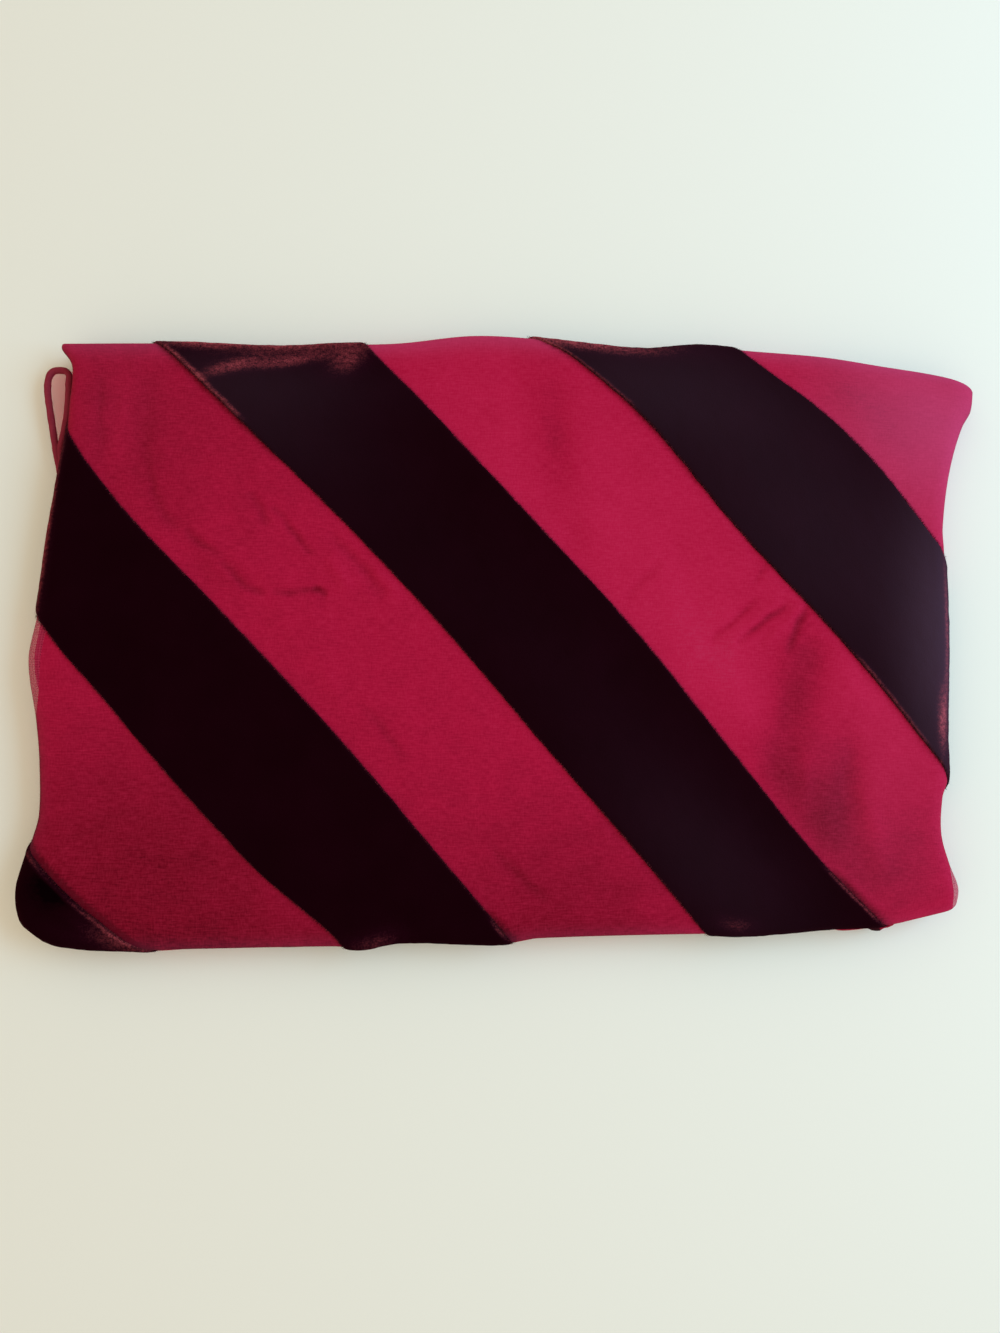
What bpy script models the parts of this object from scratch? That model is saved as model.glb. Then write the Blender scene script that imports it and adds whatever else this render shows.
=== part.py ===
"""A velvet scarf folded into a flat packet.

The scarf is a long sheer cloth with broad diagonal velvet bands. Its long edges are folded in to meet under
the middle, which makes a double leaf, and the leaf is folded in half twice, so that four leaves lie on each
other. The top leaf turns down round a small fold on the left and round the big outer fold on the right, and
its lengthwise folds roll over at the back and the front. Metres, +X to the right, +Y to the back, +Z up.

The top leaf is drawn as a flat pattern. A place on it is (u, v), the distances from the middle measured on
the cloth. drape() lays the pattern over the packet, and each velvet band is made from the same points, moved
out.
"""

import math
from collections import namedtuple

import bpy
import bmesh
from mathutils import Vector
from mathutils.geometry import delaunay_2d_cdt

MM = 0.001

# Packet and cloth
HALF_X = 195.5 * MM
HALF_Y = 129.0 * MM
LEAVES = 4
LEAF = 4.1 * MM
CLOTH_TOP = LEAVES * LEAF
WALL = 1.2 * MM
PILE = 1.2 * MM
SEAM = 0.3 * MM
HEM = 2.5 * MM

# Folds of the top leaf: the radius of each, how far it turns, and how far the velvet goes round it
LIP = LEAF / 2
LEFT_FOLD = LEAF
RIGHT_FOLD = CLOTH_TOP / 2
Turn = namedtuple("Turn", "step_degrees steps pile_steps")
LIP_TURN = Turn(step_degrees=30, steps=5, pile_steps=3)
LEFT_TURN = Turn(step_degrees=27, steps=6, pile_steps=4)
RIGHT_TURN = Turn(step_degrees=23, steps=7, pile_steps=6)

# Spacing of the pattern's points, and how near to a band's edge a plain point may lie
CELL = 17 * MM
FINE_CELL = 8.5 * MM
CLEAR_OF_EDGE = 0.36
WEAVE_SLOPE = math.radians(47.5)

# Sides of the packet: where along the side, and how far outside the plain rectangle it lies there, in mm
Side = namedtuple("Side", "at out")
RIGHT_SIDE = (
    Side(-129, -2.0),
    Side(-115, -0.6),
    Side(-101, -4.6),
    Side(-85, -9.2),
    Side(-66, -6.6),
    Side(-42, -5.6),
    Side(0, -4.2),
    Side(37, -3.8),
    Side(47, -4.6),
    Side(68, -1.2),
    Side(95, 6.5),
    Side(107, 10.6),
    Side(129, 12.0),
)
LEFT_SIDE = (
    Side(-130, 0.5),
    Side(-122, 6.6),
    Side(-109, 7.8),
    Side(-98, 5.2),
    Side(-87, 2.4),
    Side(-76, 0.4),
    Side(-53, 0.0),
    Side(-37, 1.8),
    Side(-11, 6.0),
    Side(8, 3.0),
    Side(41, -0.7),
    Side(73, -5.0),
    Side(87, -7.6),
    Side(117, -7.9),
    Side(129, -4.7),
)
BACK_SIDE = (
    Side(-196, -1.6),
    Side(-139, -1.6),
    Side(-96, -3.4),
    Side(-70, -2.2),
    Side(-44, -1.5),
    Side(-13, 1.8),
    Side(11, 0.9),
    Side(61, -4.4),
    Side(87, -2.8),
    Side(107, -4.8),
    Side(141, -7.8),
    Side(162, -11.6),
    Side(184, -16.4),
    Side(196, -21.5),
)
FRONT_SIDE = (
    Side(-196, -3.0),
    Side(-184, 1.2),
    Side(-150, 3.2),
    Side(-126, 2.8),
    Side(-70, 1.8),
    Side(-57, 2.4),
    Side(-42, -0.4),
    Side(0, 0.4),
    Side(17, -1.6),
    Side(87, -3.4),
    Side(101, -3.0),
    Side(141, -6.2),
    Side(164, -7.2),
    Side(176, -9.6),
    Side(196, -14.0),
)
SIDE_REACH = 60 * MM

# Edges of the velvet bands on the pattern: u in mm at these places along v, from the front to the back
STATIONS = (-131, -125, -95, -45, 0, 45, 95, 122, 130)
Band = namedtuple("Band", "name lower_edge upper_edge")
BANDS = (
    Band("velvet_band_1", None, (-143, -157, -191, -243, -292, -341, -396, -426, -434)),
    Band(
        "velvet_band_2",
        (-64, -69, -105, -152, -188, -229, -275, -300, -308),
        (6, 2, -24, -67, -109, -153, -200, -227, -236),
    ),
    Band(
        "velvet_band_3",
        (88, 83, 60, 17, -22, -64, -114, -141, -151),
        (163, 158, 133, 94, 58, 17, -29, -54, -60),
    ),
    Band(
        "velvet_band_4",
        (259, 254, 226, 181, 142, 101, 62, 31, 13),
        (340, 335, 308, 262, 222, 185, 142, 111, 102),
    ),
)

# Swells and creases of the top leaf in mm: middle, half length, half width, angle, height
Swell = namedtuple("Swell", "x y length width degrees height")
SWELLS = (
    Swell(-120, 40, 60, 34, -47, 0.9),
    Swell(0, 20, 120, 30, -47, 0.8),
    Swell(120, 10, 60, 28, -47, 0.7),
    Swell(-40, -70, 70, 26, -47, -0.5),
    Swell(-96, 20, 16, 7, -8, -1.3),
    Swell(-66, 24, 11, 7, -55, 1.0),
    Swell(-57, 16, 15, 6, -58, -1.0),
    Swell(98, 7, 12, 6, 44, -1.0),
    Swell(112, 10, 13, 6, 44, 0.9),
    Swell(122, -20, 24, 12, 70, -1.1),
    Swell(148, -72, 24, 9, 80, -1.0),
    Swell(-172, 70, 40, 14, 60, -0.7),
)
CREASE_ZONES = ((-120, -6, -40, 44), (82, -50, 136, 30))
CALM_EDGE = 26 * MM

# Leaves below the top one, from the second down: how far each side stays in from the plain rectangle, in mm
Inset = namedtuple("Inset", "left back front")
LEAF_INSETS = (
    Inset(left=4.1, back=0.9, front=0.6),
    Inset(left=2.6, back=1.6, front=0.0),
    Inset(left=3.4, back=0.5, front=1.2),
)
LIP_DEGREES = (90, 65, 0, -65)

# The end of the scarf that peeks out at the back of the left side, in mm: its outer line on the table
End = namedtuple("End", "y x")
END_LINE = (
    End(76, -195.0),
    End(84, -196.8),
    End(92, -198.5),
    End(100, -200.0),
    End(108, -201.2),
    End(115.4, -200.8),
)
# Middle of the hem where it turns back under the packet, in mm
HEM_TURN = (End(116.4, -199.2), End(118.0, -197.8), End(118.6, -195.8), End(118.4, -193.4), End(117.4, -191.2))
END_HEIGHT = 5.9 * MM
END_CLEAR = 0.7 * MM


def smooth_value(rows, where):
    """Second column of a table at one place of its first, on a smooth curve through the rows."""
    if where <= rows[0][0]:
        return rows[0][1]
    if where >= rows[-1][0]:
        return rows[-1][1]
    at = next(i for i in range(len(rows) - 1) if rows[i][0] <= where <= rows[i + 1][0])
    before, start, end, after = (rows[min(max(i, 0), len(rows) - 1)] for i in range(at - 1, at + 3))
    gap = end[0] - start[0]
    share = (where - start[0]) / gap
    slope_in = (end[1] - before[1]) / (end[0] - before[0])
    slope_out = (after[1] - start[1]) / (after[0] - start[0])
    return (
        (2 * share**3 - 3 * share**2 + 1) * start[1]
        + (share**3 - 2 * share**2 + share) * gap * slope_in
        + (3 * share**2 - 2 * share**3) * end[1]
        + (share**3 - share**2) * gap * slope_out
    )


def near_side(distance):
    """1 on a side of the packet, fading to 0 at SIDE_REACH inside it."""
    return max(0.0, 1.0 - max(distance, 0.0) / SIDE_REACH) ** 2


def on_table(x, y):
    """Moves a point of the plain rectangle so that the packet's sides take their real lines."""
    right = smooth_value(RIGHT_SIDE, y / MM) * MM
    left = smooth_value(LEFT_SIDE, y / MM) * MM
    back = smooth_value(BACK_SIDE, x / MM) * MM
    front = smooth_value(FRONT_SIDE, x / MM) * MM
    moved_x = x + right * near_side(HALF_X - x) - left * near_side(HALF_X + x)
    moved_y = y + back * near_side(HALF_Y - y) - front * near_side(HALF_Y + y)
    return moved_x, moved_y


def swell_height(x, y):
    """Height of the top leaf over its plain level, calm at the sides."""
    rise = 0.0
    for swell in SWELLS:
        angle = math.radians(swell.degrees)
        east, north = x - swell.x * MM, y - swell.y * MM
        along = east * math.cos(angle) + north * math.sin(angle)
        across = north * math.cos(angle) - east * math.sin(angle)
        reach = (along / (swell.length * MM)) ** 2 + (across / (swell.width * MM)) ** 2
        rise += swell.height * MM * math.exp(-reach)
    inside = min(HALF_X - abs(x), HALF_Y - abs(y))
    calm = min(max(inside / CALM_EDGE, 0.0), 1.0)
    return rise * calm * calm * (3 - 2 * calm)


def turned(distance, half, radius):
    """Splits a distance on the cloth into its flat stretch and its angle round the fold at the end."""
    flat = min(abs(distance), half - radius)
    return flat, (abs(distance) - flat) / radius


def drape(u, v, lift):
    """The place of a pattern point on the packet, `lift` outside the cloth's outer face."""
    fold = RIGHT_FOLD if u > 0 else LEFT_FOLD
    flat_x, turn = turned(u, HALF_X, fold)
    flat_y, roll = turned(v, HALF_Y, LIP)
    sideways = flat_y + (LIP + lift) * math.sin(roll)
    outward = fold + (LIP + lift) * math.cos(roll) - LIP
    x = math.copysign(flat_x + outward * math.sin(turn), u)
    y = math.copysign(sideways, v)
    z = CLOTH_TOP - fold + outward * math.cos(turn)
    if turn == 0 and roll == 0:
        z += swell_height(x, y)
    return Vector((*on_table(x, y), z))


def fold_stops(half, radius, turn):
    """Distances on the cloth at which a fold's facets meet, from its start to its end."""
    step = math.radians(turn.step_degrees) * radius
    return [half - radius + step * i for i in range(turn.steps + 1)]


LIP_STOPS = fold_stops(HALF_Y, LIP, LIP_TURN)
LEFT_STOPS = fold_stops(HALF_X, LEFT_FOLD, LEFT_TURN)
RIGHT_STOPS = fold_stops(HALF_X, RIGHT_FOLD, RIGHT_TURN)


def between(start, end, step):
    """Even places from start to end, both included, about one step apart."""
    count = max(1, round((end - start) / step))
    return [start + (end - start) * i / count for i in range(count + 1)]


def edge_place(edge, v):
    """u of a band's edge at v. Past the outer stations it runs on at the weave's own slope."""
    first, last = STATIONS[0] * MM, STATIONS[-1] * MM
    inside = min(max(v, first), last)
    u = smooth_value(tuple(zip(STATIONS, edge)), inside / MM) * MM
    return u - (v - inside) / math.tan(WEAVE_SLOPE)


def crossing(edge, u, low, high):
    """v at which a band's edge, which runs to smaller u as v grows, crosses the line of this u."""
    for _ in range(60):
        middle = (low + high) / 2
        if edge_place(edge, middle) > u:
            low = middle
        else:
            high = middle
    return low


def edge_line(edge):
    """Points of a band's edge that lie on the pattern, from the front to the back."""
    low, high = -LIP_STOPS[-1], LIP_STOPS[-1]
    left, right = -LEFT_STOPS[-1], RIGHT_STOPS[-1]
    if edge_place(edge, high) < left:
        high = crossing(edge, left, low, high)
    if edge_place(edge, low) > right:
        low = crossing(edge, right, low, high)
    return [(edge_place(edge, v), v) for v in between(low, high, CELL / math.sqrt(2))]


BAND_EDGES = [edge for band in BANDS for edge in (band.lower_edge, band.upper_edge) if edge]


def clear_of_edges(u, v, cell):
    """True for a point that would make no sliver beside a band's edge."""
    sideways = cell * CLEAR_OF_EDGE / math.sin(WEAVE_SLOPE)
    return all(abs(u - edge_place(edge, v)) > sideways for edge in BAND_EDGES)


def in_crease_zone(u, v):
    return any(
        west * MM < u < east * MM and south * MM < v < north * MM for west, south, east, north in CREASE_ZONES
    )


def inner_points():
    """Points of the pattern's flat stretch in staggered rows, finer where it is creased."""
    found = []
    for cell, creased in ((CELL, False), (FINE_CELL, True)):
        rows = between(-LIP_STOPS[0], LIP_STOPS[0], cell * math.sqrt(3) / 2)
        for number, v in enumerate(rows[1:-1]):
            columns = between(-LEFT_STOPS[0], RIGHT_STOPS[0], cell)
            stagger = (columns[1] - columns[0]) / 2 * (number % 2)
            for u in columns[1:-1]:
                place = u + stagger
                if place > RIGHT_STOPS[0] - cell / 3 or in_crease_zone(place, v) != creased:
                    continue
                if clear_of_edges(place, v, cell):
                    found.append((place, v))
    return found


def flat_pattern():
    """The top leaf as a flat mesh of triangles: its points and its faces, cut along the bands' edges."""
    points, edges = [], []

    def add_line(line):
        start = len(points)
        points.extend(line)
        edges.extend((start + i, start + i + 1) for i in range(len(line) - 1))

    flat_u = between(-LEFT_STOPS[0], RIGHT_STOPS[0], CELL)
    flat_v = between(-LIP_STOPS[0], LIP_STOPS[0], CELL)
    all_u = [-u for u in reversed(LEFT_STOPS[1:])] + flat_u + RIGHT_STOPS[1:]
    all_v = [-v for v in reversed(LIP_STOPS[1:])] + flat_v + LIP_STOPS[1:]
    for v in LIP_STOPS:
        add_line([(u, v) for u in all_u])
        add_line([(u, -v) for u in all_u])
    for u in [-u for u in LEFT_STOPS] + RIGHT_STOPS:
        add_line([(u, v) for v in all_v])
    for edge in BAND_EDGES:
        add_line(edge_line(edge))
    points.extend(inner_points())
    result = delaunay_2d_cdt([Vector(point) for point in points], edges, [], 0, 1e-6)
    return [tuple(point) for point in result[0]], [tuple(face) for face in result[2]]


def middle_of(points, face):
    return tuple(sum(points[i][axis] for i in face) / len(face) for axis in (0, 1))


def in_band(band, u, v):
    """True on the stretch of the pattern that the band's pile covers."""
    pile_v = LIP_STOPS[LIP_TURN.pile_steps]
    if abs(v) > pile_v or not -LEFT_STOPS[LEFT_TURN.pile_steps] < u < RIGHT_STOPS[RIGHT_TURN.pile_steps]:
        return False
    if band.lower_edge and u < edge_place(band.lower_edge, v):
        return False
    return u < edge_place(band.upper_edge, v)


def border_edges(faces):
    """Edges that only one face has, as that face runs along them."""
    directed = {(face[i], face[(i + 1) % len(face)]) for face in faces for i in range(len(face))}
    return [edge for edge in directed if edge[::-1] not in directed]


def make_object(name, points, faces, material, smooth_degrees=50):
    mesh = bpy.data.meshes.new(name)
    mesh.from_pydata(points, [], faces)
    build = bmesh.new()
    build.from_mesh(mesh)
    bmesh.ops.recalc_face_normals(build, faces=build.faces)
    build.to_mesh(mesh)
    build.free()
    mesh.shade_smooth()
    mesh.set_sharp_from_angle(angle=math.radians(smooth_degrees))
    mesh.materials.append(material)
    obj = bpy.data.objects.new(name, mesh)
    bpy.context.scene.collection.objects.link(obj)
    return obj


def make_material(name, colour, roughness):
    material = bpy.data.materials.new(name)
    material.use_nodes = True
    shader = material.node_tree.nodes["Principled BSDF"]
    shader.inputs["Base Color"].default_value = (*colour, 1.0)
    shader.inputs["Roughness"].default_value = roughness
    shader.inputs["Metallic"].default_value = 0.0
    material.diffuse_color = (*colour, 1.0)
    return material


def wall_piece(name, pattern, faces, low, high, material):
    """A closed wall over some of the pattern's faces, from `low` to `high` outside the cloth's outer face."""
    used = sorted({i for face in faces for i in face})
    place = {point: number for number, point in enumerate(used)}
    count = len(used)
    points = [drape(*pattern[i], high) for i in used] + [drape(*pattern[i], low) for i in used]
    outer = [tuple(place[i] for i in face) for face in faces]
    inner = [tuple(count + i for i in reversed(face)) for face in outer]
    rim = [(place[a], place[a] + count, place[b] + count, place[b]) for a, b in sorted(border_edges(faces))]
    return make_object(name, points, outer + inner + rim, material)


def flat_faces(pattern, faces):
    """Faces of the pattern's flat stretch, inside all its folds."""
    kept = []
    for face in faces:
        u, v = middle_of(pattern, face)
        if -LEFT_STOPS[0] < u < RIGHT_STOPS[0] and abs(v) < LIP_STOPS[0]:
            kept.append(face)
    return kept


def ring_levels():
    """The hidden leaves from the top down, as (height, left, right, back, front) of the plain rectangle."""
    foot = LIP * (1 - math.cos(math.radians(LIP_TURN.step_degrees * LIP_TURN.steps)))
    stack = CLOTH_TOP - foot - SEAM
    pitch = stack / len(LEAF_INSETS)
    inner_fold = RIGHT_FOLD - foot - SEAM
    for number, inset in enumerate(LEAF_INSETS):
        centre = stack - pitch * (number + 0.5)
        bottom = number == len(LEAF_INSETS) - 1
        for degrees in LIP_DEGREES[number > 0 :] + ((-90,) if bottom else ()):
            height = centre + pitch / 2 * math.sin(math.radians(degrees))
            bay = pitch / 2 * (1 - math.cos(math.radians(degrees)))
            reach = math.sqrt(max(inner_fold**2 - (height - RIGHT_FOLD) ** 2, 0.0))
            yield (
                height,
                HALF_X - inset.left * MM - bay,
                HALF_X - RIGHT_FOLD + (0 if bottom else reach),
                HALF_Y - inset.back * MM - bay,
                HALF_Y - inset.front * MM - bay,
            )


def hidden_layers(pattern, faces, material):
    """The leaves below the top one: a level top that follows it, layered sides and a flat underside."""
    top = flat_faces(pattern, faces)
    used = sorted({i for face in top for i in face})
    place = {point: number for number, point in enumerate(used)}
    points = [drape(*pattern[i], -WALL - SEAM) for i in used]
    solid = [tuple(place[i] for i in face) for face in top]
    following = dict(border_edges(top))
    rim = [next(iter(following))]
    while following[rim[-1]] != rim[0]:
        rim.append(following[rim[-1]])
    upper = [place[i] for i in rim]
    for height, left, right, back, front in ring_levels():
        lower = list(range(len(points), len(points) + len(rim)))
        for i in rim:
            u, v = pattern[i]
            x = u * (right / RIGHT_STOPS[0] if u > 0 else left / LEFT_STOPS[0])
            y = v * (back if v > 0 else front) / LIP_STOPS[0]
            points.append(Vector((*on_table(x, y), height)))
        for i in range(len(rim)):
            after = (i + 1) % len(rim)
            solid.append((upper[i], lower[i], lower[after], upper[after]))
        upper = lower
    solid.append(tuple(upper))
    return make_object("hidden_layers", points, solid, material)


def end_line_points():
    return [(row.x * MM, row.y * MM) for row in END_LINE]


def end_leaf(material):
    """The single sheer thickness between the packet's side and the hem of the scarf's end."""
    inset = LEAF_INSETS[1].left * MM
    points = []
    for x, y in end_line_points():
        packet_side = on_table(-(HALF_X - inset), y)[0]
        for side in (packet_side - END_CLEAR, x + HEM + SEAM):
            for height in (WALL / 2, -WALL / 2):
                points.append(Vector((side, y, END_HEIGHT + height)))
    faces = [(0, 1, 3, 2)]
    last = len(points) - 4
    faces.append((last + 2, last + 3, last + 1, last))
    for start in range(0, last, 4):
        for a, b in ((0, 2), (2, 3), (3, 1), (1, 0)):
            faces.append((start + a, start + b, start + b + 4, start + a + 4))
    return make_object("end_leaf", points, faces, material)


def end_hem(material):
    """The rolled hem of the scarf's end, a tube round the part that peeks out."""
    radius = HEM / 2
    route = [Vector((x + radius, y, END_HEIGHT)) for x, y in end_line_points()]
    route += [Vector((turn.x * MM, turn.y * MM, END_HEIGHT)) for turn in HEM_TURN]
    curve = bpy.data.curves.new("end_hem", "CURVE")
    curve.dimensions = "3D"
    curve.bevel_depth = radius
    curve.bevel_resolution = 2
    curve.use_fill_caps = True
    spline = curve.splines.new("POLY")
    spline.points.add(len(route) - 1)
    for point, place in zip(spline.points, route):
        point.co = (*place, 1.0)
    curve.materials.append(material)
    obj = bpy.data.objects.new("end_hem", curve)
    bpy.context.scene.collection.objects.link(obj)
    return obj


def stand_on_origin():
    """Moves the whole scarf so that its box stands on the origin, centred."""
    bpy.context.view_layer.update()
    corners = [obj.matrix_world @ Vector(corner) for obj in bpy.context.scene.objects for corner in obj.bound_box]
    middle = [(min(c[i] for c in corners) + max(c[i] for c in corners)) / 2 for i in (0, 1)]
    floor = min(corner.z for corner in corners)
    for obj in bpy.context.scene.objects:
        obj.location -= Vector((*middle, floor))


def build_scarf():
    for obj in list(bpy.data.objects):
        bpy.data.objects.remove(obj)
    sheer = make_material("sheer_ground", (0.38, 0.006, 0.055), 0.7)
    layers = make_material("sheer_layers", (0.28, 0.005, 0.045), 0.75)
    hem = make_material("rolled_hem", (0.22, 0.005, 0.035), 0.7)
    pattern, faces = flat_pattern()
    wall_piece("top_leaf", pattern, faces, -WALL, 0.0, sheer)
    for band in BANDS:
        velvet = make_material(f"{band.name}_pile", (0.02, 0.002, 0.006), 0.9)
        covered = [face for face in faces if in_band(band, *middle_of(pattern, face))]
        wall_piece(band.name, pattern, covered, SEAM, SEAM + PILE, velvet)
    hidden_layers(pattern, faces, layers)
    end_leaf(sheer.copy())
    end_hem(hem)
    stand_on_origin()


build_scarf()
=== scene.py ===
"""Looks of a folded velvet scarf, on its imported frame.

The scarf is one long double leaf of sheer cloth with broad bands of velvet pile, folded in half twice. A
place on the cloth is (u, v), u along it and v across it, both from the middle of the top leaf. top_place()
lays the top leaf over the packet as the solids are laid, and on_table() gives every leaf the packet's real
outline. Metres, +X to the right, +Y to the back, +Z up. The tables are in mm.
"""

import math
from collections import namedtuple

import bpy
import numpy as np
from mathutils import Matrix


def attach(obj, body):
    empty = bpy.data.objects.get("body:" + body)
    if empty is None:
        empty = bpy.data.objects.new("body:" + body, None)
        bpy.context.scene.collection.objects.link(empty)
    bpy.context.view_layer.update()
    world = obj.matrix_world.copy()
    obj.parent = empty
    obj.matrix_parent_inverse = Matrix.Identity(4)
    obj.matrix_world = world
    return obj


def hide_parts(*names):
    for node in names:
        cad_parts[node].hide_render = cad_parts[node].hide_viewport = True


MM = 0.001


def table(kind, *rows):
    """The rows of a table, each with named fields."""
    return tuple(kind(*row) for row in rows)


# Packet and cloth, as in the solids
HALF_X = 195.5 * MM
HALF_Y = 129.0 * MM
LEAF = 4.1 * MM
CLOTH_TOP = 4 * LEAF
LIP = LEAF / 2
LEFT_FOLD = LEAF
RIGHT_FOLD = CLOTH_TOP / 2
HEM = 2.5 * MM
SHIFT = (-1.2966 * MM, 1.3546 * MM)

# Ends of the flat stretches, and of the cloth round the folds and lips
FLAT_Y = HALF_Y - LIP
LEFT_FLAT = HALF_X - LEFT_FOLD
RIGHT_FLAT = HALF_X - RIGHT_FOLD
LEFT_END = LEFT_FLAT + math.pi * LEFT_FOLD
RIGHT_END = RIGHT_FLAT + math.pi * RIGHT_FOLD
LIP_END = math.radians(165)
ACROSS_END = FLAT_Y + LIP_END * LIP

# Pile: height, round of its edge, how deep it sits in the cloth, and its share of the ground's unevenness
PILE = 1.1 * MM
PILE_ROUND = 1.3 * MM
PILE_SINK = 0.05 * MM
PILE_FINE = 0.6

# Share of the pile's height at the end of a lip, and how it thins out over the last of the right fold
LIP_LIFT = 0.35
FADE_TURN = 0.9
FADE_START = 0.15

# Spacing of the meshes, the top leaf's spans with fine creases, and its columns tucked in on the left
FINE_CELL = 0.9 * MM
PLAIN_CELL = 1.6 * MM
PILE_CELL = 1.15 * MM
LIP_STEPS = 12
LEFT_STEPS = 16
RIGHT_STEPS = 28
FINE_COLUMNS = ((-172, -42), (84, 150))
FINE_ROWS = ((-8, 112),)
TUCKED = (3, 8)

# Columns along a pile's rounded edge, the share of a narrow pile that they take, and the least of all.
# A band runs on past the left fold, and stops where it would be narrower than the least band.
RIM_STEPS = (0.0, 0.05, 0.16, 0.34, 0.6, 1.0)
RIM_SHARE = 0.3
LEAST_COLUMNS = 6
BAND_TUCK = 2 * MM
LEAST_BAND = 0.4 * MM

# Round of the packet's corners, and points along a side of the noise's lattice
CORNER = 4.5 * MM
LATTICE = 64

# Threads of the mesh: their pitch, and the length over which a wave texture of scale 1 repeats
THREAD_PITCH = 1.05 * MM
WAVE_LENGTH = 0.314

# Sides of the packet: where along the side, and how far outside the plain rectangle it lies there
RIGHT_SIDE = (
    (-129, -3.0), (-115, -1.6), (-101, -5.0), (-85, -8.2), (-69, -7.2), (-62, -4.9), (-42, -4.7),
    (0, -3.0), (37, -3.2), (47, -3.4), (68, -0.4), (95, 6.5), (107, 10.6), (129, 12.0),
)
LEFT_SIDE = (
    (-130, -0.6), (-122, 5.4), (-109, 7.2), (-98, 4.9), (-87, 2.0), (-76, -0.6), (-53, 0.0), (-37, 1.8),
    (-11, 6.0), (8, 3.0), (41, -0.7), (73, -5.2), (87, -7.4), (103, -8.4), (114, -9.2), (121, -8.2),
    (129, -1.8),
)
BACK_SIDE = (
    (-196, -1.6), (-139, -1.6), (-96, -3.4), (-70, -2.2), (-44, -1.5), (-13, 1.8), (11, 0.9), (61, -4.4),
    (87, -2.8), (107, -4.8), (141, -7.8), (162, -11.6), (184, -16.4), (196, -21.5),
)
FRONT_SIDE = (
    (-196, -3.0), (-184, 1.2), (-150, 3.2), (-126, 2.8), (-70, 1.8), (-57, 2.4), (-42, -0.4), (0, 0.4),
    (17, -1.6), (87, -3.4), (101, -3.0), (141, -6.2), (164, -7.2), (176, -9.6), (196, -14.0),
)
SIDE_REACH = 60 * MM

# Edges of the velvet bands on the top leaf: u at these places along v, from the front to the back
STATIONS = (-131, -125, -95, -45, 0, 45, 95, 122, 130)
Band = namedtuple("Band", "node lower_edge upper_edge")
BANDS = (
    Band("velvet_band_1", None, (-143, -157, -191, -243, -292, -341, -396, -426, -434)),
    Band(
        "velvet_band_2",
        (-64, -69, -105, -152, -188, -229, -275, -300, -308),
        (6, 2, -24, -67, -109, -153, -200, -227, -236),
    ),
    Band(
        "velvet_band_3",
        (88, 83, 60, 17, -21.5, -63.6, -114, -141, -151),
        (163, 158, 133, 94, 58.6, 18, -28.2, -53, -59.4),
    ),
    Band(
        "velvet_band_4",
        (259, 254, 226, 181, 142.3, 101.6, 61.4, 31, 13),
        (340, 335, 308, 262, 222, 185, 142, 111, 102),
    ),
)
WEAVE_SLOPE = math.radians(47.5)

# Bands on the leaves below, in straight lines: u of a lower edge at v = 0, spacing, width and soft edge
Repeat = namedtuple("Repeat", "lower_edge spacing width")
LEFT_REPEAT = Repeat(lower_edge=-188, spacing=157, width=79)
RIGHT_REPEAT = Repeat(lower_edge=142, spacing=165, width=80)
PILE_SOFTNESS = 2.4

# Soft patches: middle, half length, half width, angle, and height or amount
Patch = namedtuple("Patch", "x y length width degrees amount")
# Broad swells of the top leaf
SWELLS = table(
    Patch,
    (-120, 40, 60, 34, -47, 0.9), (0, 20, 120, 30, -47, 0.8), (120, 10, 60, 28, -47, 0.7),
    (-40, -70, 70, 26, -47, -0.5), (122, -20, 24, 12, 70, -1.1), (148, -72, 24, 9, 80, -1.0),
    (-172, 70, 40, 14, 60, -0.7),
)
CALM_EDGE = 26 * MM

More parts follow.
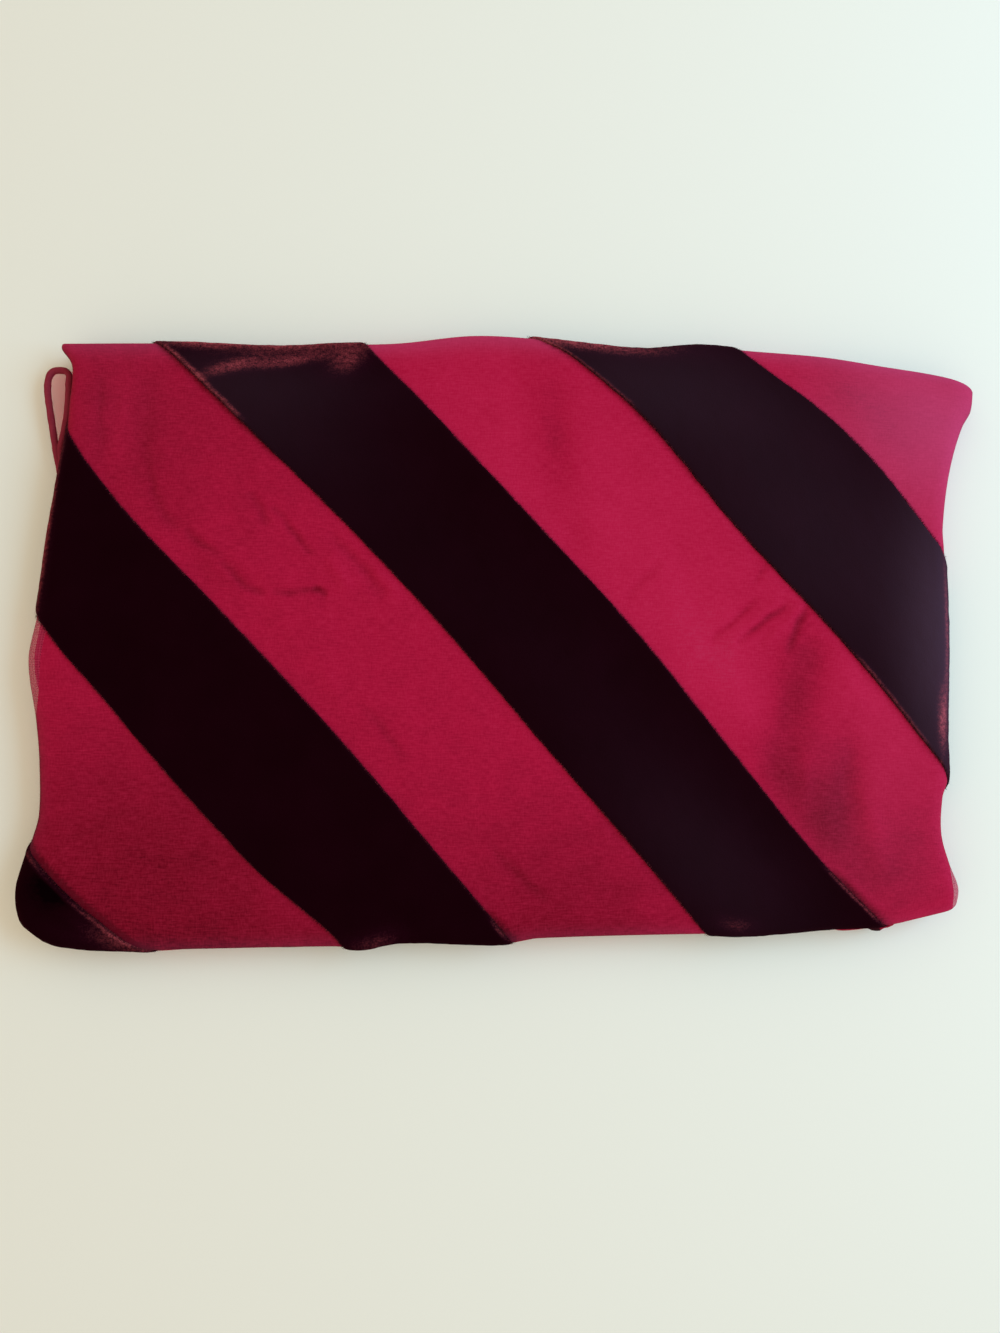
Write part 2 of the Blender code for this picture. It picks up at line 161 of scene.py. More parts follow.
# Creases of the top leaf: width, height, the tone along it and the line that each follows. The tone is
# painted shade along the sunken creases and painted light along the raised ones
Crease = namedtuple("Crease", "width height tone line")
CREASES = table(
    Crease,
    (2.0, -0.3, -0.19, ((-177, 114), (-176, 96), (-174.5, 74))),
    (4.5, 0.3, 0.1, ((-163, 114), (-165, 92), (-169, 68))),
    (5.0, -0.4, -0.08, ((-151, 112), (-155, 70), (-138, 44))),
    (2.1, -0.35, -0.16, ((-153, 80), (-147, 56), (-137, 44))),
    (1.7, -0.45, -0.28, ((-135, 46), (-127, 38), (-117, 33))),
    (6.0, -0.45, -0.14, ((-134, 31), (-122, 24), (-108, 19))),
    (1.6, -0.65, -0.38, ((-119, 31), (-108, 21), (-99, 17.5))),
    (1.5, -0.55, -0.4, ((-98, 18), (-86, 18), (-76, 19.5))),
    (3.0, 0.35, 0.05, ((-116, 36), (-101, 25), (-82, 25))),
    (2.0, -0.6, -0.5, ((-80, 19.5), (-73, 17))),
    (1.7, -0.45, -0.26, ((-107, 62), (-103, 54), (-99, 47))),
    (1.6, -0.45, -0.28, ((-97, 56), (-89, 44), (-79, 33))),
    (3.2, 0.65, 0.1, ((-73, 34), (-68, 26), (-64, 18))),
    (2.6, -0.65, -0.22, ((-74, 43), (-59, 29), (-49, 15))),
    (3.0, 0.45, 0.08, ((-54, 29), (-47, 21), (-43, 13))),
    (1.7, -0.35, -0.22, ((-60, -28), (-49, -40), (-39, -54))),
    (1.7, -0.35, -0.24, ((-5, -87), (7, -100), (20, -113))),
    (4.0, 0.25, 0.06, ((-81, -4), (-72, -20), (-62, -38))),
    (7.0, -0.6, -0.1, ((21, 110), (26, 84), (30, 58))),
    (6.0, -0.3, -0.06, ((28, 52), (34, 36))),
    (1.8, -0.4, -0.26, ((54, 15), (62, 24), (70, 31))),
    (1.6, -0.7, -0.46, ((89, -4), (99, 6), (110, 15))),
    (2.0, 0.5, 0.06, ((96, -6), (108, 6), (118, 15))),
    (1.6, -0.85, -0.6, ((100, -4), (112, 5), (123, 14))),
    (2.2, 0.6, 0.1, ((112, -6), (122, 6), (130, 15))),
    (1.8, -0.75, -0.5, ((121, -8), (126, 2), (131, 12))),
    (1.4, -0.4, -0.3, ((107, 22), (114, 30))),
    (8.0, -0.8, -0.1, ((137, -3), (128, -26), (115, -61))),
    (7.0, 0.5, 0.06, ((142, -6), (149, -24), (155, -42))),
    (4.0, 0.6, 0.1, ((132, -42), (129, -58), (126, -76))),
    (6.0, -0.9, -0.1, ((147, -42), (146, -62), (142, -82))),
    (5.0, 0.6, 0.08, ((153, -52), (158, -88), (162, -114))),
    (9.0, 0.4, 0.04, ((92, -8), (102, -36), (110, -58))),
    (1.3, 0.4, 0.1, ((140, -99), (148, -108), (156, -117), (166, -122))),
    (2.0, -0.3, -0.05, ((20, -52), (60, -96), (86, -124))),
    (9.0, -0.4, 0.0, ((-38, 60), (0, 18), (44, -32))),
    (8.0, 0.35, 0.0, ((-178, 20), (-140, -22), (-96, -72))),
)
UNDER_CREASES = table(
    Crease,
    (3.2, -0.55, 0, ((-150, 62), (-130, 36), (-112, 22))),
    (2.6, -0.4, 0, ((-124, -38), (-104, -52), (-96, -72))),
    (3.0, -0.5, 0, ((-62, -70), (-48, -92), (-40, -112))),
    (2.8, -0.45, 0, ((-22, 12), (-6, -12), (4, -40))),
    (4.2, -0.6, 0, ((20, 84), (44, 50), (52, 30))),
    (2.6, -0.4, 0, ((88, -32), (104, -12), (121, -3))),
    (3.6, -0.5, 0, ((132, 74), (123, 46), (127, 24))),
)
CREASE_CALM = 7 * MM
CREASE_SHARE = 0.95

# Soft unevenness of the forms: the height of each wave, its size from bump to bump and its seed
Wave = namedtuple("Wave", "height size seed")
CREASE_EAST = Wave(0.7, 6, 5)
CREASE_NORTH = Wave(0.7, 6, 6)
CREASE_UNEVEN = Wave(0.28, 4.5, 7)
SLANTED_GRAIN = Wave(0.20, 11, 3)
FINE_GRAIN = Wave(0.075, 4, 4)
UPPER_EDGE_WAVES = (Wave(0.30, 7, 11), Wave(0.16, 2.2, 12))
LOWER_EDGE_WAVES = (Wave(0.30, 6, 13), Wave(0.16, 2.0, 14))
PILE_LUMPS = (Wave(0.10, 5, 21), Wave(0.06, 1.7, 22))
FOLDED_WAVER = (Wave(0.60, 28, 41), Wave(0.22, 9, 43))
FOLDED_RIPPLE = Wave(0.38, 21, 42)
BOTTOM_WAVER = (Wave(0.65, 26, 51), Wave(0.22, 8, 53))
BOTTOM_RIPPLE = Wave(0.30, 23, 52)
END_WAVE = Wave(0.35, 6, 62)
HEM_WAVE = Wave(0.4, 22, 71)

# How far the top leaf's sides droop, and from how far inside them
Droop = namedtuple("Droop", "side depth reach")
DROOPS = (
    Droop("left", 1.5, 15),
    Droop("front", 1.9, 19),
    Droop("back", 1.0, 13),
    Droop("right", 1.0, 14),
)
DROOP_CURVE = 1.6

# Soft patches of tone on the sheer ground, which are painted shade and light, darker in the valleys and
# towards the left and front and lighter towards the right; and of brushed nap on the velvet
GROUND_SHADE_AND_LIGHT = table(
    Patch,
    (178, 90, 62, 52, -40, 0.4), (148, 108, 26, 15, -40, -0.24), (40, 55, 110, 45, -47, 0.42),
    (140, -40, 60, 60, 0, 0.3), (92, -10, 34, 18, -50, 0.24), (-150, -108, 95, 70, 0, -0.72),
    (-160, 95, 75, 60, -20, -0.35), (30, -115, 60, 45, 0, -0.5), (-60, -134, 150, 13, 0, -0.35),
    (130, -54, 52, 19, 103, -0.52), (127, -8, 17, 12, 62, -0.3), (126, -24, 20, 10, 74, -0.26),
    (118, -50, 18, 10, 100, -0.18), (144, -64, 26, 11, 84, -0.36), (124, -68, 36, 9, -48, -0.34),
    (168, -96, 30, 20, 60, -0.4), (165, 92, 26, 14, -60, -0.25), (23, 84, 36, 12, -80, -0.38),
)
# Painted reflection: where the ground is paler, as it mirrors a little of the window, and painted highlights
# along the back, front and left sides
REFLECTION_PATCHES = table(
    Patch,
    (186, 96, 52, 44, -60, 5.2), (164, -78, 44, 52, 0, 0.9), (-172, 104, 30, 30, 0, 0.3),
    (0, 130, 300, 6.5, 0, 4.2), (0, -130, 300, 4.5, 0, 1.6), (-196, -50, 90, 4, 90, 1.4),
)
# Brushed nap on the velvet, with painted sheen where the pile turns over the folded sides
NAP_AND_SHEEN_PATCHES = table(
    Patch,
    (-118, 117.5, 15, 2.9, 20, 0.5), (-93, 120.5, 20, 2.9, 9, 0.5), (-66, 120, 9, 6, 30, 0.5),
    (-98, 124, 42, 6.0, 4, 0.2), (-94, 131, 46, 4.2, 0, 0.86), (-132, 131, 16, 3.6, 0, 0.9),
    (-52, -128, 12, 5, 8, 0.35), (98, -124, 9, 4, -10, 0.34), (-150, -127, 22, 4, -6, 0.42),
    (-168, -121, 14, 3.2, -34, 0.16), (190.5, -36, 15, 3.0, 90, 0.78), (193, 4, 32, 1.8, 90, 0.62),
    (-195.5, 42, 46, 2.6, 90, 0.74), (22, 130.5, 38, 4.2, -3, 1.0), (66, 127, 24, 5, -6, 0.16),
    (-180, -105, 9, 9, 0, -0.25),
)
# Painted sheen: where the pile is paler, seen against the light
PILE_SHEENS = table(
    Patch,
    (60, 110, 60, 26, -10, 0.22), (140, 40, 90, 46, -47, 0.22), (192, 0, 62, 20, 90, 0.78),
    (-110, 96, 50, 24, -20, 0.14), (-98, 112, 50, 15, -6, 0.12), (-60, 50, 60, 30, -47, 0.03),
    (90, -100, 60, 26, -47, 0.13), (30, -20, 70, 26, -47, 0.03),
)

# Marks along a band's edge: band and edge, from v to v, how far from the edge, how wide, how much
EdgeMark = namedtuple("EdgeMark", "number edge start end offset reach amount")
# Painted highlight inside the edge, where the pile's edge catches the light
EDGE_HIGHLIGHTS = table(
    EdgeMark,
    (1, "upper", -131, -80, 1.3, 1.0, 0.42), (2, "upper", -131, -116, 1.0, 0.9, 0.5),
    (3, "lower", 90, 131, 1.4, 1.2, 0.6), (3, "upper", -131, -96, 1.0, 0.8, 0.5),
    (4, "lower", 96, 131, 0.9, 0.8, 0.4), (4, "lower", -50, -5, 1.0, 0.8, 0.45),
)
# Painted shadow: darker lines on the ground outside the edge
EDGE_SHADOWS = table(
    EdgeMark,
    (1, "upper", -133, -84, 0.6, 1.9, -0.75), (2, "upper", -133, -112, 0.5, 1.8, -0.55),
    (3, "upper", -133, -98, 0.6, 1.9, -0.7), (3, "lower", 70, 131, 0.5, 1.5, -0.5),
    (4, "lower", 60, 131, 0.5, 1.5, -0.6), (4, "lower", -60, -2, 0.5, 1.6, -0.4),
)
# How far a mark fades out at its ends, and the painted sheen of the nap along every rim and lip
EDGE_FADE = 8
RIM_SHEEN = 0.20
RIM_REACH = 0.7 * MM
LIP_SHEEN = 0.25

# Leaves below the top one: how far each side stays in from the plain rectangle
Inset = namedtuple("Inset", "back front")
SECOND_LEAF = Inset(back=0.9, front=0.5)
THIRD_LEAF = Inset(back=1.5, front=0.1)
BOTTOM_LEAF = Inset(back=0.6, front=1.1)

# Meshes of those leaves: step along them, columns across the flat part, and how far in the left end stays
LeafMesh = namedtuple("LeafMesh", "step columns inset")
FOLDED_MESH = LeafMesh(1.8, 30, 2.4)
BOTTOM_MESH = LeafMesh(2.2, 110, 3.2)
INNER_STEPS = 14

# How far apart the second and third leaf's waves are, and shares of the thickness and of the pile
WAVER_STEP = 40 * MM
RIPPLE_STEP = 60 * MM
FOLDED_THICKNESS = 0.97
LIP_PILE = 0.9

# Left ends of those leaves: thickness and round, and their share of the see-through strip's depth
END_THICKNESS = 0.12
END_ROUND = 2.5 * MM
STRIP_INSET = 0.8

# Bottom leaf: where its own outline sets in, and how far its ground lies above the pile from below
SETTLE = 18 * MM
UNDER_HOLLOW = 0.5 * MM

# See-through strips of the outer folds: where across the cloth, and how deep the strip is, seen from above
LEFT_STRIP = (
    (-60, 0.0), (-38, 0.0), (-33, 1.2), (-27, 3.0), (-19, 4.6), (-10, 5.4), (0, 5.8), (12, 5.6),
    (18, 0.0), (30, 0.0),
)
RIGHT_STRIP = (
    (-133, 1.2), (-129, 2.2), (-124, 3.8), (-114, 4.2), (-106, 2.8), (-101, 0.8), (-98, 0.0), (-90, 0.0),
)
Strip = namedtuple("Strip", "side fold rows")
STRIPS = (Strip(-1, LEFT_FOLD, LEFT_STRIP), Strip(1, RIGHT_FOLD, RIGHT_STRIP))
# The mesh column that follows a strip's border, and how far the columns beside it shift with it
STRIP_COLUMN = 2.4 * MM
STRIP_SHIFT = 14 * MM
# The least depth of a strip, the depth from which it is seen through fully, and how far round the fold
LEAST_STRIP = 0.05 * MM
FULL_STRIP = 3 * MM
SHEER_TURN = math.radians(55)

# The cloth looks darker where a fold turns away: how far round, how wide and how much
OUTLINE_TURN = math.radians(70)
OUTLINE_REACH = 1.5
OUTLINE_TONE = -0.5

# Lower leaves that peek out under the front side: where, how far along it, and how far out
Peek = namedtuple("Peek", "x reach out")
SECOND_PEEKS = (Peek(8, 13, 1.3), Peek(-140, 12, 1.0), Peek(148, 9, 2.0))
THIRD_PEEKS = (Peek(163, 7, 2.6), Peek(-40, 30, 0.8))

# The end of the scarf that peeks out at the back of the left side: the middle line of its hem
END_HEM = (
    (-188.0, 56), (-192.2, 67), (-194.0, 75.5), (-195.6, 82.7), (-197.2, 91.6), (-198.8, 100.6),
    (-199.9, 107.4), (-200.1, 112.8), (-199.3, 116.3), (-197.6, 118.1), (-194.9, 118.5), (-192.2, 118.0),
    (-190.7, 116.0), (-190.8, 111.9), (-190.8, 107.4), (-191.0, 100.6), (-191.7, 93.9), (-192.8, 88.0),
    (-193.6, 83.6), (-193.4, 79.1), (-191.8, 72), (-187.0, 64),
)
END_HEIGHT = 5.9 * MM

# The sheer layer inside that hem: the hem's outer rows, and the layer's sides, mesh and tone
OUTER_ENDS = END_HEM[1:10]
END_FRONT = 66 * MM
END_BACK = 118 * MM
END_INNER = -176 * MM
END_CELL = 1.0 * MM
END_COLUMNS = 16
END_TONE = 0.2

# Rolled hems: radius, points round them, lumps with their seed, step along them, rings to a lump
Roll = namedtuple("Roll", "radius sides lumps seed step")
LOOP_ROLL = Roll(1.5 * MM, 12, 0.06, 61, 0.5 * MM)
HEM_ROLL = Roll(HEM / 2 * 0.9, 10, 0.08, 72, 1.2 * MM)
LUMP_RINGS = 3.0

# Hemmed ends under the left fold, how far they stay clear of the lips, and the step of their points
LeafHem = namedtuple("LeafHem", "name height inset")
LEAF_HEMS = (
    LeafHem("third_leaf_hem", 1.5 * LEAF, 2.0),
    LeafHem("bottom_leaf_hem", 0.5 * LEAF, 2.8),
)
HEM_CLEAR = 3 * MM
HEM_POINTS = 4 * MM

# Loose fibres along each edge of a band: number, reach past the sides, sizes, lean, lift, and nap with
# painted sheen
FRINGE_SEED = 31
FIBRES = 5200
FRINGE_LEFT = 8 * MM
FRINGE_RIGHT = 16 * MM
FIBRE_HALF = 0.05 * MM
FIBRE_ROOT = 0.5 * MM
FIBRE_LENGTHS = (0.25, 1.0)
FIBRE_LEAN = 0.45
ROOT_LIFTS = (0.3, 1.0)
TIP_SPREAD = 0.35
TIP_LIFTS = (0.1, 1.5)
FIBRE_NAP_AND_SHEEN = (0.1, 0.6)

# Materials: how each reflects, the ground's plain level, and the colours that are mixed
FINISH_SOCKETS = ("Roughness", "Specular IOR Level", "Sheen Weight", "Sheen Roughness", "Sheen Tint", "Alpha")
GROUND_FINISH = (0.7, 0.02, 0.04, 0.4, (1.0, 0.55, 0.7, 1.0))
VELVET_FINISH = (0.8, 0.0, 0.10, 0.35, (0.75, 0.16, 0.24, 1.0))
STRIPED_FINISH = (0.75, 0.02, 0.06, 0.4, (0.9, 0.30, 0.40, 1.0))
FLOOR_FINISH = (0.8, 0.2, 0.0, 0.5, (1.0, 1.0, 1.0, 1.0))
GROUND_LEVEL = 0.12
# Colours added to the plain ones: painted glints on the ground's threads, painted reflection of the window on
# the ground, painted sheen of the window on the pile
GLINT = (0.0070, 0.0044, 0.0070)
WINDOW_REFLECTION = (0.0010, 0.0050, 0.0120)
WINDOW_SHEEN = (0.042, 0.025, 0.043)
# Ground colours from dark to pale: the dark end carries the painted shade, the pale pinker end the painted
# reflection of the window
GROUND_STOPS = (
    (0.0, (0.105, 0.0014, 0.009)),
    (0.14, (0.198, 0.0024, 0.017)),
    (0.3, (0.285, 0.0038, 0.029)),
    (0.5, (0.4, 0.0054, 0.043)),
    (0.75, (0.475, 0.01, 0.062)),
    (1.0, (0.48, 0.02, 0.085)),
)
MESH_STOPS = (
    (0.0, (0.42, 0.012, 0.06)),
    (0.45, (0.72, 0.03, 0.13)),
    (1.0, (0.88, 0.14, 0.26)),
)
SHEER_STOPS = (
    (0.0, (0.26, 0.006, 0.028)),
    (0.45, (0.5, 0.023, 0.085)),
    (1.0, (0.64, 0.09, 0.17)),
)
HEM_STOPS = (
    (0.0, (0.13, 0.006, 0.018)),
    (1.0, (0.36, 0.04, 0.075)),
)
# Pile colours from near black up to the red-brown of brushed nap and painted sheen
VELVET_STOPS = (
    (0.0, (0.002, 0.0003, 0.0007)),
    (0.1, (0.0075, 0.0005, 0.002)),
    (0.3, (0.013, 0.0012, 0.0045)),
    (0.42, (0.03, 0.0046, 0.009)),
    (0.66, (0.105, 0.015, 0.023)),
    (1.0, (0.27, 0.043, 0.06)),
)
STRIPED_GROUND_STOPS = ((0.2, (0.22, 0.004, 0.02)), (0.8, (0.42, 0.008, 0.045)))
STRIPED_VELVET_STOPS = ((0.2, (0.006, 0.0006, 0.002)), (1.0, (0.10, 0.016, 0.028)))

# Floor, window light, surround and camera
FLOOR_HALF = 3.0
FLOOR_DROP = 0.2 * MM
FLOOR_COLOUR = (0.85, 0.85, 0.82)
WINDOW_PLACE = (1.0, 0.20, 0.70)
WINDOW_SIZE = (0.9, 0.8)
WINDOW_POWER = 12.0
WINDOW_COLOUR = (0.38, 0.74, 1.0)
SURROUND_COLOUR = (1.0, 0.86, 0.64)
SURROUND_STRENGTH = 0.78
CAMERA_SENSOR = 36.0
CAMERA_LENS = 27.09
CAMERA_NEAR = 0.01
CAMERA_PLACE = (SHIFT[0], -43.3 * MM + SHIFT[1], 440 * MM)
CAMERA_TILT = math.radians(4)


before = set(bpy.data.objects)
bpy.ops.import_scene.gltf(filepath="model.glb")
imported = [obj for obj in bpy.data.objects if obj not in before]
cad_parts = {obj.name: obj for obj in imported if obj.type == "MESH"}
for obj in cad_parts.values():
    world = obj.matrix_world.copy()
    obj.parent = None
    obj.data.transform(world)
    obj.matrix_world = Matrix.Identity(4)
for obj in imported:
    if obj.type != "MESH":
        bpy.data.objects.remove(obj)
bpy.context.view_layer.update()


def smooth_curve(rows, where):
    """Second column of a table at places of its first, on a smooth curve through the rows."""
    at, value = (np.array(column, float) for column in zip(*rows))
    ahead = np.minimum(np.arange(len(at)) + 1, len(at) - 1)
    behind = np.maximum(np.arange(len(at)) - 1, 0)
    slope = (value[ahead] - value[behind]) / (at[ahead] - at[behind])
    where = np.clip(where, at[0], at[-1])
    start = np.clip(np.searchsorted(at, where, side="right") - 1, 0, len(at) - 2)
    gap = at[start + 1] - at[start]
    share = (where - at[start]) / gap
    return (
        (2 * share**3 - 3 * share**2 + 1) * value[start]
        + (share**3 - 2 * share**2 + share) * gap * slope[start]
        + (3 * share**2 - 2 * share**3) * value[start + 1]
        + (share**3 - share**2) * gap * slope[start + 1]
    )


def smooth_step(share):
    """0 up to 0, 1 from 1 on, and a soft rise in between."""
    share = np.clip(share, 0.0, 1.0)
    return share * share * (3 - 2 * share)


def round_edge(distance, radius):
    """0 at an edge, rising to 1 inside it in a round of this radius."""
    return np.sqrt(np.clip(1 - (1 - np.clip(distance / radius, 0, 1)) ** 2, 0, 1))


def soft_noise(x, y, size, seed):
    """Smooth noise from -1 to 1, about `size` from bump to bump, the same on every run."""
    lattice = np.random.default_rng(seed).uniform(-1, 1, (LATTICE, LATTICE))
    east, north = x / size + LATTICE / 2, y / size + LATTICE / 2
    column, row = np.floor(east).astype(int), np.floor(north).astype(int)
    right, up = smooth_step(east - column), smooth_step(north - row)

    def corner(i, j):
        return lattice[(column + i) % LATTICE, (row + j) % LATTICE]

    low = corner(0, 0) * (1 - right) + corner(1, 0) * right
    high = corner(0, 1) * (1 - right) + corner(1, 1) * right
    return low * (1 - up) + high * up


def waves(x, y, *rows):
    """Sum of waves at (x, y), in the measure of their heights."""
    return sum(wave.height * soft_noise(x, y, wave.size * MM, wave.seed) for wave in rows)


def near_side(distance):
    """1 on a side of the packet, fading to 0 at SIDE_REACH inside it."""
    return np.maximum(0.0, 1.0 - np.maximum(distance, 0.0) / SIDE_REACH) ** 2


def round_corners(x, y):
    """Pulls the corners of the plain rectangle in to a round."""
    past_x = np.clip((np.abs(x) - HALF_X + CORNER) / CORNER, 0, 1)
    past_y = np.clip((np.abs(y) - HALF_Y + CORNER) / CORNER, 0, 1)
    in_x = past_x * (1 - np.sqrt(1 - past_y**2 / 2)) * CORNER
    in_y = past_y * (1 - np.sqrt(1 - past_x**2 / 2)) * CORNER
    return x - np.copysign(in_x, x), y - np.copysign(in_y, y)


def on_table(x, y):
    """Moves points of the plain rectangle so that the packet's sides take their real lines."""
    x, y = round_corners(x, y)
    right = smooth_curve(RIGHT_SIDE, y / MM) * MM
    left = smooth_curve(LEFT_SIDE, y / MM) * MM
    back = smooth_curve(BACK_SIDE, x / MM) * MM
    front = smooth_curve(FRONT_SIDE, x / MM) * MM
    moved_x = x + right * near_side(HALF_X - x) - left * near_side(HALF_X + x)
    moved_y = y + back * near_side(HALF_Y - y) - front * near_side(HALF_Y + y)
    return moved_x + SHIFT[0], moved_y + SHIFT[1]


def patch_value(patches, x, y):
    """Sum of soft round patches at (x, y)."""
    total = np.zeros_like(x)
    for patch in patches:
        angle = math.radians(patch.degrees)
        east, north = x - patch.x * MM, y - patch.y * MM
        along = (east * math.cos(angle) + north * math.sin(angle)) / (patch.length * MM)
        across = (north * math.cos(angle) - east * math.sin(angle)) / (patch.width * MM)
        total += patch.amount * np.exp(-(along**2) - across**2)
    return total


def crease_sums(creases, x, y):
    """Height of all the creases at (x, y) and their tone, painted shade in the sunken ones and painted light
    on the raised ones, each soft across and tapered to its ends.
    """
    x, y = x + waves(x, y, CREASE_EAST) * MM, y + waves(x, y, CREASE_NORTH) * MM
    uneven = CREASE_SHARE + waves(x, y, CREASE_UNEVEN)
    height = np.zeros_like(x)
    tone = np.zeros_like(x)
    for crease in creases:
        line = np.array(crease.line) * MM
        steps = np.diff(line, axis=0)
        lengths = np.hypot(*steps.T)
        run = np.concatenate([[0], np.cumsum(lengths)])
        nearest = np.full_like(x, np.inf)
        place = np.zeros_like(x)
        for start, step, length, before in zip(line, steps, lengths, run):
            share = np.clip(((x - start[0]) * step[0] + (y - start[1]) * step[1]) / length**2, 0, 1)
            distance = np.hypot(x - start[0] - share * step[0], y - start[1] - share * step[1])
            closer = distance < nearest
            nearest = np.where(closer, distance, nearest)
            place = np.where(closer, (before + share * length) / run[-1], place)
        taper = np.sqrt(np.clip(4 * place * (1 - place), 0, 1))
        share = uneven * taper * np.exp(-((nearest / (crease.width * MM)) ** 2))
        height += crease.height * MM * share
        tone += crease.tone * share
    return height, tone


def relief(x, y, fine):
    """Height of the top leaf over its plain level. `fine` is the share of the small unevenness."""
    inside = np.minimum(HALF_X - np.abs(x), HALF_Y - np.abs(y))
    broad = patch_value(SWELLS, x, y) * MM * smooth_step(inside / CALM_EDGE)
    grain = waves(x + y / 3, y / 3, SLANTED_GRAIN) + waves(x, y, FINE_GRAIN)
    small = crease_sums(CREASES, x, y)[0] + fine * grain * MM
    return broad + small * smooth_step(inside / CREASE_CALM)


def droop(x, y):
    """How far the top leaf sinks towards the sides."""
    inside = {"left": HALF_X + x, "right": HALF_X - x, "back": HALF_Y - y, "front": HALF_Y + y}
    total = np.zeros_like(x)
    for row in DROOPS:
        share = np.clip(1 - inside[row.side] / (row.reach * MM), 0, 1)
        total = np.maximum(total, row.depth * MM * share**DROOP_CURVE)
    return total


def top_place(u, v, lift, fine=1.0):
    """Places on the packet of top-leaf places (u, v), `lift` outside the cloth's outer face."""
    fold = np.where(u > 0, RIGHT_FOLD, LEFT_FOLD)
    flat_x = np.minimum(np.abs(u), HALF_X - fold)
    turn = np.clip((np.abs(u) - flat_x) / fold, 0, math.pi)
    beyond = np.maximum(np.abs(u) - flat_x - math.pi * fold, 0)
    flat_y = np.minimum(np.abs(v), FLAT_Y)
    roll = np.clip((np.abs(v) - flat_y) / LIP, 0, math.pi)
    lift = lift * (LIP_LIFT + (1 - LIP_LIFT) * np.where(roll > math.pi / 2, np.sin(roll), 1.0))
    lift = lift * np.where(u > 0, smooth_step((math.pi - turn) / FADE_TURN + FADE_START), 1.0)
    sideways = flat_y + (LIP + lift) * np.sin(roll)
    outward = fold + (LIP + lift) * np.cos(roll) - LIP
    x = np.copysign(flat_x + outward * np.sin(turn) + beyond * np.cos(turn), u)
    y = np.copysign(sideways, v)
    z = CLOTH_TOP - fold + outward * np.cos(turn)
    z = z + np.where((turn == 0) & (roll == 0), relief(x, y, fine), 0.0)
    upper = np.clip((z - CLOTH_TOP + LEAF) / LEAF, 0, 1)
    z = np.maximum(z - droop(x, y) * upper, 0.0)
    return np.stack([*on_table(x, y), z], axis=-1)


def between(start, end, step):
    """Even places from start to end, both included, about one step apart."""
    return np.linspace(start, end, max(2, round((end - start) / step) + 1))


def uneven_steps(start, end, fine):
    """Places from start to end, close together where the fine creases lie and wider apart elsewhere."""
    stops = [start, *(place * MM for span in fine for place in span), end]
    runs = []
    for number, (low, high) in enumerate(zip(stops, stops[1:])):
        runs.append(between(low, high, FINE_CELL if number % 2 else PLAIN_CELL)[:-1])
    return np.concatenate([*runs, [end]])


def fold_places(start, turn, steps):
    """Places along the cloth round a fold, without its first one."""
    return start + np.linspace(0, turn, steps + 1)[1:]


def with_lips(flat):
    """Places across the top leaf: the flat ones, and those round both lips."""
    lip = fold_places(FLAT_Y, LIP_END * LIP, LIP_STEPS)
    return np.concatenate([-lip[::-1], flat, lip])


def edge_place(edge, v):
    """u of a band's edge at v. Past the outer stations it runs on at the weave's own slope."""
    first, last = STATIONS[0] * MM, STATIONS[-1] * MM
    inside = np.clip(v, first, last)
    u = smooth_curve(tuple(zip(STATIONS, edge)), inside / MM) * MM
    return u - (v - inside) / math.tan(WEAVE_SLOPE)


def edge_mark(row, v, distance):
    """A soft line beside a band's edge, at this distance from the edge. It fades out at both ends."""
    along = smooth_step((v / MM - row.start) / EDGE_FADE) * smooth_step((row.end - v / MM) / EDGE_FADE)
    return row.amount * along * np.exp(-(((distance / MM - row.offset) / row.reach) ** 2))


def edge_shadow_tone(u, v):
    """Painted shadow: tone of the darker lines beside the bands."""
    total = np.zeros_like(u)
    for row in EDGE_SHADOWS:
        band = BANDS[row.number - 1]
        edge, outward = (band.upper_edge, 1) if row.edge == "upper" else (band.lower_edge, -1)
        total += edge_mark(row, v, outward * (u - edge_place(edge, v)) * math.sin(WEAVE_SLOPE))
    return total


def pile_share(repeat, u, v):
    """1 on the straight bands of the leaves below, 0 on the ground, soft in between."""
    across = (u / MM + v / MM / math.tan(WEAVE_SLOPE) - repeat.lower_edge) % repeat.spacing
    depth = np.minimum(across, repeat.width - across)
    return smooth_step(0.5 + depth / PILE_SOFTNESS)


def grid_faces(rows, columns, ring=False):
    """Four-sided faces of a grid of points. A ring joins its last column to its first."""
    number = np.arange(rows * columns).reshape(rows, columns)
    if ring:
        number = np.concatenate([number, number[:, :1]], axis=1)
    corners = (number[:-1, :-1], number[:-1, 1:], number[1:, 1:], number[1:, :-1])
    return np.stack(corners, axis=-1).reshape(-1, 4)


def new_object(name, data):
    """An object in the scene that shows this data."""
    made = bpy.data.objects.new(name, data)
    bpy.context.scene.collection.objects.link(made)
    return made


def make_piece(name, places, faces, materials, values, cloth, node=None, slot=None):
    """A smooth mesh piece that rides on the packet.

    `values` are named numbers for its material, by point, and `cloth` holds the points' (u, v).
    """
    mesh = bpy.data.meshes.new(name)
    mesh.from_pydata(places.reshape(-1, 3).tolist(), [], faces.tolist())
    mesh.shade_smooth()
    for material in materials:
        mesh.materials.append(material)
    for key, numbers in values.items():
        layer = mesh.attributes.new(key, "FLOAT", "POINT")
        layer.data.foreach_set("value", np.ascontiguousarray(numbers, dtype=np.float32).ravel())
    corners = np.empty(len(mesh.loops), dtype=np.int32)
    mesh.loops.foreach_get("vertex_index", corners)
    layer = mesh.uv_layers.new(name="cloth")
    flat = np.stack(cloth, axis=-1).reshape(-1, 2)
    layer.data.foreach_set("uv", flat[corners].astype(np.float32).ravel())
    obj = new_object(name, mesh)
    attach(obj, "root")
    if node:
        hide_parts(node)
    return obj


